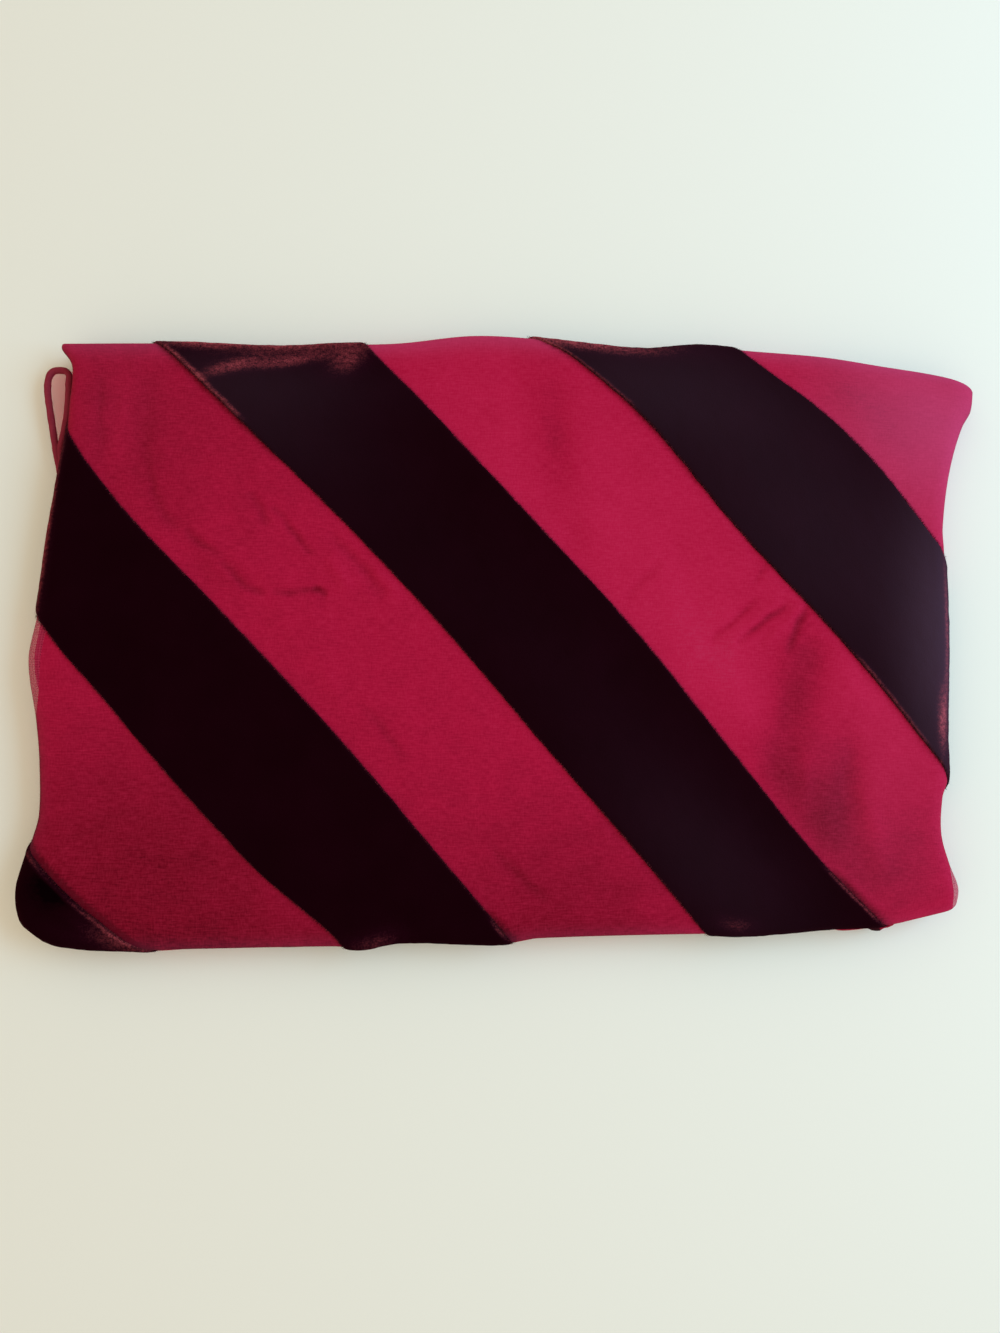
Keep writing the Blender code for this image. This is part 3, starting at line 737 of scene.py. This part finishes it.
def add_node(tree, kind, inputs=None, **settings):
    """A new node. `inputs` gives each socket its value, or the output that it is joined to."""
    made = tree.nodes.new(kind)
    for key, value in settings.items():
        setattr(made, key, value)
    for socket, value in (inputs or {}).items():
        if isinstance(value, bpy.types.NodeSocket):
            tree.links.new(value, made.inputs[socket])
        else:
            made.inputs[socket].default_value = value
    return made


def math_node(tree, operation, *terms):
    """One step of arithmetic on outputs and numbers."""
    return add_node(tree, "ShaderNodeMath", dict(enumerate(terms)), operation=operation).outputs[0]


def sum_of(tree, *terms):
    """Adds up (output, factor) terms."""
    total = 0.0
    for output, factor in terms:
        total = math_node(tree, "MULTIPLY_ADD", output, factor, total)
    return total


def colour_ramp(tree, factor, stops):
    """Colour of the stops at the factor."""
    ramp = add_node(tree, "ShaderNodeValToRGB", {"Fac": factor})
    elements = ramp.color_ramp.elements
    while len(elements) < len(stops):
        elements.new(0.5)
    for element, (place, colour) in zip(elements, stops):
        element.position = place
        element.color = (*colour, 1.0)
    return ramp.outputs["Color"]


def new_material(name, finish, alpha=1.0):
    """A material with this finish: the material, its node tree and its shader."""
    material = bpy.data.materials.new(name)
    material.use_nodes = True
    shader = material.node_tree.nodes["Principled BSDF"]
    for socket, value in zip(FINISH_SOCKETS, (*finish, alpha)):
        shader.inputs[socket].default_value = value
    return material, material.node_tree, shader


def point_value(tree, name):
    """A named number of the mesh's points."""
    return add_node(tree, "ShaderNodeAttribute", attribute_name=name).outputs["Fac"]


def cloth_place(tree):
    """(u, v) on the cloth."""
    return add_node(tree, "ShaderNodeUVMap", uv_map="cloth").outputs["UV"]


def cloth_noise(tree, per_u, per_v):
    """Noise that follows the cloth, with so many bumps to a metre of u and of v."""
    place = {"Vector": cloth_place(tree), "Scale": (per_u, per_v, 1.0)}
    scaled = add_node(tree, "ShaderNodeMapping", place).outputs["Vector"]
    noise = {"Vector": scaled, "Scale": 1.0, "Detail": 2.0, "Roughness": 0.6}
    return add_node(tree, "ShaderNodeTexNoise", noise).outputs["Fac"]


def stretched(tree, output, low, high):
    """The output's values from low to high, spread over 0 to 1."""
    spread = {"Value": output, "From Min": low, "From Max": high}
    return add_node(tree, "ShaderNodeMapRange", spread).outputs["Result"]


def add_colour(tree, base, colour, amount):
    """The base colour with so much of another one added."""
    mix = add_node(
        tree,
        "ShaderNodeMix",
        {"Factor": amount, "A": base, "B": (*colour, 1.0)},
        data_type="RGBA",
        blend_type="ADD",
        clamp_factor=False,
    )
    return mix.outputs["Result"]


def dress_shader(tree, shader, colour, height, distance, strength):
    """Gives a shader its colour and the bumps of its cloth."""
    tree.links.new(colour, shader.inputs["Base Color"])
    bumps = {"Height": height, "Strength": strength, "Distance": distance}
    bump = add_node(tree, "ShaderNodeBump", bumps)
    tree.links.new(bump.outputs["Normal"], shader.inputs["Normal"])


def thread_rows(tree, direction):
    """Even rows of threads across one direction of the cloth."""
    rows = add_node(
        tree,
        "ShaderNodeTexWave",
        {
            "Vector": cloth_place(tree),
            "Scale": WAVE_LENGTH / THREAD_PITCH,
            "Distortion": 1.2,
            "Detail": 1.0,
            "Detail Scale": 0.4,
        },
        wave_type="BANDS",
        bands_direction=direction,
    )
    return rows.outputs["Fac"]


def ground_material(name, stops, alpha=1.0, mesh=0.0):
    """Sheer crepe cloth: crossed threads with slubs, fine streaks and soft patches of tone, which carry
    painted shade and light, with painted glints on the threads and a painted reflection of the window.
    """
    material, tree, shader = new_material(name, GROUND_FINISH, alpha)
    streaks = cloth_noise(tree, 230, 1500)
    threads = cloth_noise(tree, 1500, 420)
    blotches = cloth_noise(tree, 70, 90)
    parts = [(point_value(tree, "tone"), 0.5), (streaks, 0.34), (threads, 0.24), (blotches, 0.18)]
    if mesh:
        parts += [(thread_rows(tree, "X"), mesh), (thread_rows(tree, "Y"), mesh)]
    level = math_node(tree, "ADD", sum_of(tree, *parts), GROUND_LEVEL - mesh)
    plain = colour_ramp(tree, level, stops)
    weave = sum_of(tree, (streaks, 0.5), (threads, 0.5))
    # Painted glints on the threads, then the painted reflection of the window
    glinting = add_colour(tree, plain, GLINT, stretched(tree, weave, 0.42, 0.68))
    reflected = add_colour(tree, glinting, WINDOW_REFLECTION, point_value(tree, "painted_reflection"))
    dress_shader(tree, shader, reflected, weave, 0.0004, 0.4)
    return material


def velvet_material(name):
    """Short dense pile: nearly black burgundy, redder and lighter where the nap is brushed up and where sheen
    is painted on its rims and folds, and greyer where the window's sheen is painted on it.
    """
    material, tree, shader = new_material(name, VELVET_FINISH)
    grain = cloth_noise(tree, 1500, 1500)
    tufts = cloth_noise(tree, 420, 620)
    drift = cloth_noise(tree, 34, 34)
    speckle = sum_of(tree, *((stretched(tree, noise, 0.20, 0.80), 0.80) for noise in (tufts, grain)))
    # Brushed nap and painted sheen, broken up into specks of pile
    nap_and_sheen_level = math_node(tree, "MULTIPLY", point_value(tree, "nap_and_sheen"), speckle)
    plain = colour_ramp(tree, sum_of(tree, (nap_and_sheen_level, 1.1), (drift, 0.16), (grain, 0.12)), VELVET_STOPS)
    # Painted sheen of the window on the pile
    sheened = add_colour(tree, plain, WINDOW_SHEEN, point_value(tree, "tone"))
    dress_shader(tree, shader, sheened, sum_of(tree, (grain, 0.6), (tufts, 0.4)), 0.0006, 0.5)
    return material


def stripes(tree, repeat):
    """1 on the straight bands of the leaves below, 0 on the ground, with slightly ragged edges."""
    half = repeat.width / 2
    slant = (1 / MM, 1 / MM / math.tan(WEAVE_SLOPE), 0)
    across = {0: cloth_place(tree), 1: slant}
    across = add_node(tree, "ShaderNodeVectorMath", across, operation="DOT_PRODUCT").outputs["Value"]
    centred = math_node(tree, "SUBTRACT", across, repeat.lower_edge + half)
    distance = math_node(tree, "PINGPONG", centred, repeat.spacing / 2)
    ragged = sum_of(tree, (distance, 1.0), (cloth_noise(tree, 700, 700), 1.6))
    return stretched(tree, ragged, half + 1.3, half + 0.3)


def striped_material(name, repeat):
    """Sheer ground and velvet on one cloth, in straight bands."""
    material, tree, shader = new_material(name, STRIPED_FINISH)
    streaks = cloth_noise(tree, 220, 1500)
    grain = cloth_noise(tree, 900, 900)
    drift = cloth_noise(tree, 60, 60)
    ground = colour_ramp(tree, sum_of(tree, (streaks, 0.6), (drift, 0.4)), STRIPED_GROUND_STOPS)
    # Painted sheen of the pile where the leaves roll round their lips
    nap_and_sheen_level = sum_of(tree, (grain, 0.35), (drift, 0.15), (point_value(tree, "nap_and_sheen"), 0.5))
    velvet = colour_ramp(tree, nap_and_sheen_level, STRIPED_VELVET_STOPS)
    both = {"Factor": stripes(tree, repeat), "A": ground, "B": velvet}
    mix = add_node(tree, "ShaderNodeMix", both, data_type="RGBA")
    bumps = sum_of(tree, (streaks, 0.4), (grain, 0.6))
    dress_shader(tree, shader, mix.outputs["Result"], bumps, 0.0005, 0.4)
    return material


def strip_border(strip, v):
    """Distance along the cloth, from the middle, of a see-through strip's inner border."""
    depth = smooth_curve(strip.rows, v / MM) * MM
    turned = strip.fold * np.arcsin(np.clip(1 - depth / strip.fold, 0, 1))
    return np.where(depth < strip.fold, HALF_X - strip.fold + turned, HALF_X - depth)


def follow_strips(u, v):
    """Moves the columns beside the folds so that one column on each side follows its strip's border."""
    start = HALF_X - STRIP_COLUMN
    for strip in STRIPS:
        share = np.maximum(0, 1 - np.abs(strip.side * u - start) / STRIP_SHIFT)
        u = u + strip.side * share * (strip_border(strip, v) - start)
    return u


def strip_faces(column, v, faces):
    """1 for each face of a see-through strip, 0 for the others."""
    column, v = column.ravel()[faces].mean(axis=1), v.ravel()[faces].mean(axis=1)
    found = np.zeros(len(faces), dtype=bool)
    for strip in STRIPS:
        depth = smooth_curve(strip.rows, v / MM) * MM
        turn = math.pi / 2 + SHEER_TURN * np.clip(depth / FULL_STRIP, 0, 1)
        under = HALF_X - strip.fold + strip.fold * turn
        along = strip.side * column
        found |= (depth > LEAST_STRIP) & (along > HALF_X - STRIP_COLUMN) & (along < under)
    return found.astype(np.int32)


def top_leaf(ground, sheer, on_it):
    """The sheer ground of the top leaf, with its rolled sides and both folds."""
    left_turn = fold_places(LEFT_FLAT, math.pi * LEFT_FOLD, LEFT_STEPS)
    left_tucked = left_turn[-1] + np.array(TUCKED) * MM
    right_turn = fold_places(RIGHT_FLAT, math.pi * RIGHT_FOLD, RIGHT_STEPS)
    flat_u = uneven_steps(-LEFT_FLAT, RIGHT_FLAT, FINE_COLUMNS)
    u = np.concatenate([-left_tucked[::-1], -left_turn[::-1], flat_u, right_turn])
    column, v = np.meshgrid(u, with_lips(uneven_steps(-FLAT_Y, FLAT_Y, FINE_ROWS)))
    u = follow_strips(column, v)
    faces = grid_faces(*u.shape)
    fold = np.where(u > 0, RIGHT_FOLD, LEFT_FOLD)
    outline = (np.abs(u) - (HALF_X - fold) - OUTLINE_TURN * fold) / (OUTLINE_REACH * MM)
    # Tone of the ground: painted shade and light in patches and along the creases, painted shadow beside the
    # bands, and darker where a fold turns away
    tone = patch_value(GROUND_SHADE_AND_LIGHT, u, v) + crease_sums(CREASES, u, v)[1] + edge_shadow_tone(u, v)
    tone += OUTLINE_TONE * np.exp(-(outline**2))
    values = {"tone": tone, "painted_reflection": patch_value(REFLECTION_PATCHES, u, v)}
    places = top_place(u, v, np.zeros_like(u))
    piece = make_piece("sheer_ground", places, faces, [ground, sheer], values, (u, v), node="top_leaf")
    piece.data.polygons.foreach_set("material_index", strip_faces(column, v, faces))


def band_rows(band):
    """Rows of a band along v: v, the lower edge and the upper edge, cut to the top leaf's ends."""
    left = -(LEFT_END + BAND_TUCK)
    v = with_lips(between(-FLAT_Y, FLAT_Y, PILE_CELL))
    upper = edge_place(band.upper_edge, v) + waves(v, 0.0, *UPPER_EDGE_WAVES) * MM
    if band.lower_edge:
        lower = edge_place(band.lower_edge, v) + waves(v, 0.0, *LOWER_EDGE_WAVES) * MM
    else:
        lower = np.full_like(v, left)
    lower, upper = np.maximum(lower, left), np.minimum(upper, RIGHT_END)
    kept = upper - lower > LEAST_BAND
    return v[kept], lower[kept], upper[kept]


def rim_sheen(band, v, offset, width):
    """Painted sheen of the nap along the edges of a band, everywhere a little and more where the pile's edge
    catches the light.
    """
    slant = math.sin(WEAVE_SLOPE)
    depth = {"lower": offset * slant, "upper": (width - offset) * slant}
    total = RIM_SHEEN * sum(np.exp(-((distance / RIM_REACH) ** 2)) for distance in depth.values())
    for row in EDGE_HIGHLIGHTS:
        if BANDS[row.number - 1] is band:
            total += edge_mark(row, v, depth[row.edge])
    return total


def pile_piece(band, velvet):
    """The velvet pile of one band, a low cushion with rounded edges."""
    v, lower, upper = band_rows(band)
    count = max(LEAST_COLUMNS, round(float((upper - lower).max()) / PILE_CELL))
    width = (upper - lower)[:, None]
    rim = np.array(RIM_STEPS) * PILE_ROUND / math.sin(WEAVE_SLOPE)
    rim = np.minimum(rim, width * RIM_SHARE * np.linspace(0, 1, len(rim)))
    inner = np.linspace(0, 1, count)[None, 1:-1] * (width - 2 * rim[:, -1:]) + rim[:, -1:]
    offset = np.concatenate([rim, inner, width - rim[:, ::-1]], axis=1)
    u = lower[:, None] + offset
    v = np.repeat(v[:, None], u.shape[1], axis=1)
    depth = np.minimum(offset, width - offset) * math.sin(WEAVE_SLOPE)
    lift = PILE * round_edge(depth, PILE_ROUND) * (1 + waves(u, v, *PILE_LUMPS)) - PILE_SINK
    # Brushed nap with painted sheen, and the painted sheen of the window on the pile
    nap_and_sheen = patch_value(NAP_AND_SHEEN_PATCHES, u, v) + rim_sheen(band, v, offset, width)
    values = {"nap_and_sheen": nap_and_sheen, "tone": patch_value(PILE_SHEENS, u, v)}
    places = top_place(u, v, lift, PILE_FINE)
    faces = grid_faces(*u.shape)
    return make_piece(f"pile_of_{band.node}", places, faces, [velvet], values, (u, v), node=band.node)


def fibres(chance, edge, outward):
    """Corners of the fibres on one edge of a band, three to a fibre, and their nap with its painted sheen."""
    v = np.sort(chance.uniform(-ACROSS_END, ACROSS_END, FIBRES))
    u = edge_place(edge, v)
    kept = (u > -(HALF_X + FRINGE_LEFT)) & (u < HALF_X + FRINGE_RIGHT)
    foot = np.stack([u, v], axis=-1)[kept]
    count = len(foot)
    across = outward * np.array([math.sin(WEAVE_SLOPE), math.cos(WEAVE_SLOPE)])
    along = np.array([-across[1], across[0]])
    length = chance.uniform(*FIBRE_LENGTHS, count)[:, None] * MM
    lean = chance.normal(0, FIBRE_LEAN, count)[:, None] * length
    root = foot - across * FIBRE_ROOT
    root_lift = chance.uniform(*ROOT_LIFTS, count) * MM
    tip_lift = root_lift + chance.normal(0, TIP_SPREAD, count) * MM
    tip_lift = np.clip(tip_lift, TIP_LIFTS[0] * MM, TIP_LIFTS[1] * MM)
    corners = (
        (root - along * FIBRE_HALF, root_lift),
        (root + along * FIBRE_HALF, root_lift),
        (foot + across * length + along * lean, tip_lift),
    )
    places = np.stack([top_place(*point.T, lift, PILE_FINE) for point, lift in corners], axis=1)
    return places.reshape(-1, 3), np.repeat(chance.uniform(*FIBRE_NAP_AND_SHEEN, count), 3)


def pile_fringe(velvet):
    """Single fibres that stand out along the edges of the bands."""
    chance = np.random.default_rng(FRINGE_SEED)
    edges = [pair for band in BANDS for pair in ((band.lower_edge, -1), (band.upper_edge, 1))]
    runs = [fibres(chance, edge, outward) for edge, outward in edges if edge]
    places, nap_and_sheen = (np.concatenate(part) for part in zip(*runs))
    faces = np.arange(len(places)).reshape(-1, 3)
    values = {"nap_and_sheen": nap_and_sheen, "tone": 0 * nap_and_sheen}
    return make_piece("pile_fringe", places, faces, [velvet], values, places[:, :2].T, slot="velvet_pile")


def leaf_grid(run, flat_columns):
    """Grid of a double leaf: place along it, share of its flat half width, and angle round its lips."""
    turn = np.linspace(0, math.pi, LIP_STEPS + 3)[1:-1]
    flat = np.linspace(1, -1, flat_columns)
    level = np.zeros_like(flat)
    share = np.concatenate([flat, -np.ones_like(turn), flat[::-1], np.ones_like(turn)])
    roll = np.concatenate([level, turn, level + math.pi, turn[::-1]])
    run, roll = np.meshgrid(run, roll, indexing="ij")
    return run, np.broadcast_to(share, run.shape), roll


def across_cloth(share, roll):
    """v of a double leaf's places, on the opened cloth."""
    v = np.copysign(FLAT_Y + LIP * (math.pi - roll), share)
    return np.where((roll == 0) | (roll == math.pi), share * FLAT_Y, v)


def left_start(y, inset):
    """x at which a lower leaf starts on the left, further in beside the see-through strip."""
    depth = np.clip(smooth_curve(LEFT_STRIP, y / MM), 0, None)
    return -(HALF_X - (inset + STRIP_INSET * depth) * MM)


def left_close(distance, start):
    """Share of its thickness that a double leaf has near its left end, which closes in a rounded edge."""
    return END_THICKNESS + (1 - END_THICKNESS) * round_edge(distance - start - HALF_X, END_ROUND)


def peeks_out(peeks, x):
    """How far a lower leaf stands out further under the front side."""
    return sum(peek.out * MM * np.exp(-(((x / MM - peek.x) / peek.reach) ** 4)) for peek in peeks)


def double_leaf(name, places, roll, cloth, material, **stands):
    """The piece of a double leaf. `stands` may name the node of the solids that it hides; a slot given there
    is not used.
    """
    # Painted sheen of the pile where the leaf rolls round its lips
    values = {"nap_and_sheen": LIP_SHEEN * np.sin(roll)}
    return make_piece(name, places, grid_faces(*roll.shape, ring=True), [material], values, cloth, **stands)


def folded_leaves(material):
    """The second and third leaves, one double leaf that turns back round the inner fold on the right."""
    straight = between(0, RIGHT_FLAT + HALF_X, FOLDED_MESH.step * MM)
    length = straight[-1]
    turned = fold_places(length, math.pi * LIP, INNER_STEPS)
    run = np.concatenate([straight, turned, turned[-1] + straight[1:]])
    run, share, roll = leaf_grid(run, FOLDED_MESH.columns)
    turn = np.clip((run - length) / LIP, 0, math.pi)
    past = np.maximum(run - length - math.pi * LIP, 0)
    x = RIGHT_FLAT - np.maximum(length - run, 0) + LIP * np.sin(turn) - past
    third = smooth_step(turn / math.pi)
    back = (SECOND_LEAF.back * (1 - third) + THIRD_LEAF.back * third) * MM
    front = (SECOND_LEAF.front * (1 - third) + THIRD_LEAF.front * third) * MM
    front -= peeks_out(SECOND_PEEKS, x) * (1 - third) + peeks_out(THIRD_PEEKS, x) * third
    y = share * (FLAT_Y - np.where(share > 0, back, front) + waves(x, third * WAVER_STEP, *FOLDED_WAVER) * MM)
    u = -LEFT_END - run
    v = across_cloth(share, roll)
    start = left_start(y, FOLDED_MESH.inset)
    x = np.maximum(x, start)
    side = LIP + PILE * pile_share(LEFT_REPEAT, u, v) * np.sin(roll) * LIP_PILE
    close = left_close(np.minimum(run, run.max() - run), start)
    normal = LIP * np.cos(roll) * close * FOLDED_THICKNESS
    ripple = waves(x, third * RIPPLE_STEP, FOLDED_RIPPLE) * np.sin(roll) * MM
    z = RIGHT_FOLD + (LIP + normal) * np.cos(turn) + ripple
    y = y + np.copysign(side * np.sin(roll), share)
    places = np.stack([*on_table(x + normal * np.sin(turn), y), z], axis=-1)
    piece = double_leaf("folded_leaves", places, roll, (u, v), material, node="hidden_layers")


def bottom_leaf(material):
    """The lowest leaf, which carries on from the outer fold on the right and lies flat on the table."""
    run = between(0, RIGHT_FLAT + HALF_X, BOTTOM_MESH.step * MM)
    run, share, roll = leaf_grid(run, BOTTOM_MESH.columns)
    x = RIGHT_FLAT - run
    inset = (np.where(share > 0, BOTTOM_LEAF.back, BOTTOM_LEAF.front) - waves(x, 0.0, *BOTTOM_WAVER)) * MM
    y = share * (FLAT_Y - smooth_step(run / SETTLE) * inset)
    u = RIGHT_END + run
    v = across_cloth(share, roll)
    pile = pile_share(RIGHT_REPEAT, u, v)
    start = left_start(y, BOTTOM_MESH.inset)
    x = np.maximum(x, start)
    normal = LIP * np.cos(roll) * left_close(run.max() - run, start)
    hollow = UNDER_HOLLOW * (1 - pile) - crease_sums(UNDER_CREASES, x, y)[0]
    z = LIP + normal + np.clip(-np.cos(roll), 0, 1) * hollow
    z = np.maximum(z + waves(x, 0.0, BOTTOM_RIPPLE) * np.sin(roll) * MM, 0.0)
    y = y + np.copysign((LIP + PILE * pile * LIP_PILE) * np.sin(roll), share)
    places = np.stack([*on_table(x, y), z], axis=-1)
    piece = double_leaf("bottom_leaf", places, roll, (u, v), material, slot="sheer_layers")


def smooth_route(points, step):
    """Even places along a smooth curve through the points."""
    points = np.array(points, float)
    run = np.concatenate([[0], np.cumsum(np.hypot(*np.diff(points[:, :2], axis=0).T))])
    places = between(0, run[-1], step)
    return np.stack([smooth_curve(tuple(zip(run, column)), places) for column in points.T], axis=-1)


def tube(route, roll):
    """Rings of a rolled hem along a route, as a grid of places."""
    ahead = np.gradient(route, axis=0)
    ahead /= np.linalg.norm(ahead, axis=1, keepdims=True)
    side = np.cross(ahead, [0, 0, 1])
    side /= np.linalg.norm(side, axis=1, keepdims=True)
    up = np.cross(side, ahead)
    turn = np.linspace(0, 2 * math.pi, roll.sides, endpoint=False)[None, :, None]
    uneven = 1 + roll.lumps * soft_noise(np.arange(len(route)), 0.0, LUMP_RINGS, roll.seed)
    radius = roll.radius * uneven[:, None, None]
    return route[:, None] + radius * (np.cos(turn) * side[:, None] + np.sin(turn) * up[:, None])


def hem_piece(name, line, roll, material, **stands):
    """A rolled hem along a line. `stands` may name the node of the solids that it hides; a slot given there
    is not used.
    """
    route = smooth_route(line, roll.step)
    rings = tube(route, roll)
    run, around = np.arange(len(route)) * roll.step, np.linspace(0, HEM * math.pi, roll.sides)
    cloth = np.meshgrid(run, around, indexing="ij")
    values = {"tone": np.zeros(rings.shape[:2])}
    faces = grid_faces(*rings.shape[:2], ring=True)
    return make_piece(name, rings, faces, [material], values, cloth, **stands)


def end_pieces(hem, sheer):
    """The scarf's end that peeks out on the left: its rolled hem and the single sheer layer inside it."""
    line = [(x * MM + SHIFT[0], y * MM + SHIFT[1], END_HEIGHT) for x, y in END_HEM]
    loop = hem_piece("rolled_end_hem", line, LOOP_ROLL, hem, node="end_hem")
    y = between(END_FRONT, END_BACK, END_CELL)[:, None]
    outer = smooth_curve([(y, x) for x, y in OUTER_ENDS], y / MM) * MM
    x = outer + (END_INNER - outer) * np.linspace(0, 1, END_COLUMNS)
    y = np.repeat(y, END_COLUMNS, axis=1)
    z = END_HEIGHT + waves(x, y, END_WAVE) * MM
    places = np.stack([x + SHIFT[0], y + SHIFT[1], z], axis=-1)
    values = {"tone": np.full_like(x, END_TONE)}
    leaf = make_piece("sheer_end", places, grid_faces(*x.shape), [sheer], values, (x, y), node="end_leaf")


def end_hems(hem):
    """The hemmed ends of the third and bottom leaves, under the left fold."""
    hems = []
    for row in LEAF_HEMS:
        y = between(HEM_CLEAR - HALF_Y, HALF_Y - HEM_CLEAR, HEM_POINTS)
        x, y = on_table(left_start(y, row.inset) + waves(y, 0.0, HEM_WAVE) * MM, y)
        line = np.stack([x, y, np.full_like(x, row.height)], axis=-1)
        hems.append(hem_piece(row.name, line, HEM_ROLL, hem, slot="rolled_hem"))
    return hems


def make_floor():
    """A plain pale floor just under the packet."""
    corners = [(x * FLOOR_HALF, y * FLOOR_HALF, 0) for x, y in ((-1, -1), (1, -1), (1, 1), (-1, 1))]
    mesh = bpy.data.meshes.new("floor")
    mesh.from_pydata(corners, [], [(0, 1, 2, 3)])
    floor = new_object("floor", mesh)
    floor.location.z = -FLOOR_DROP
    material, _, shader = new_material("pale_floor", FLOOR_FINISH)
    shader.inputs["Base Color"].default_value = (*FLOOR_COLOUR, 1.0)
    mesh.materials.append(material)


def make_light():
    """A large soft light from the back right and a soft warm surround."""
    light = bpy.data.lights.new("window", "AREA")
    light.shape = "RECTANGLE"
    light.size, light.size_y = WINDOW_SIZE
    light.energy = WINDOW_POWER
    light.color = WINDOW_COLOUR
    window = new_object("window", light)
    window.location = WINDOW_PLACE
    window.rotation_euler = (-window.location).to_track_quat("-Z", "Y").to_euler()

    world = bpy.data.worlds.new("surround")
    world.use_nodes = True
    background = world.node_tree.nodes["Background"]
    background.inputs["Color"].default_value = (*SURROUND_COLOUR, 1.0)
    background.inputs["Strength"].default_value = SURROUND_STRENGTH
    bpy.context.scene.world = world


def make_camera():
    """The photograph's own place: almost straight above, a little to the front and tilted to the back."""
    data = bpy.data.cameras.new("camera")
    data.sensor_fit = "VERTICAL"
    data.sensor_height = CAMERA_SENSOR
    data.lens = CAMERA_LENS
    data.clip_start = CAMERA_NEAR
    camera = new_object("camera", data)
    camera.location = CAMERA_PLACE
    camera.rotation_euler = (CAMERA_TILT, 0, 0)
    bpy.context.scene.camera = camera


def dress_scarf():
    """Camera, stage and every piece of the scarf, from the lowest up."""
    make_camera()
    make_floor()
    make_light()
    bpy.context.scene.view_settings.view_transform = "Standard"
    ground = ground_material("sheer_ground_cloth", GROUND_STOPS)
    strip = ground_material("sheer_fold_cloth", SHEER_STOPS, alpha=0.62, mesh=0.22)
    single = ground_material("single_sheer_cloth", MESH_STOPS, alpha=0.38, mesh=0.50)
    hem = ground_material("rolled_hem_cloth", HEM_STOPS)
    velvet = velvet_material("velvet_pile_cloth")
    folded = striped_material("folded_leaves_cloth", LEFT_REPEAT)
    lowest = striped_material("bottom_leaf_cloth", RIGHT_REPEAT)
    third_hem, bottom_hem = end_hems(hem)
    bottom_leaf(lowest)
    folded_leaves(folded)
    piles = [pile_piece(band, velvet) for band in BANDS]
    top_leaf(ground, strip, [*piles, pile_fringe(velvet)])
    end_pieces(hem, single)


dress_scarf()
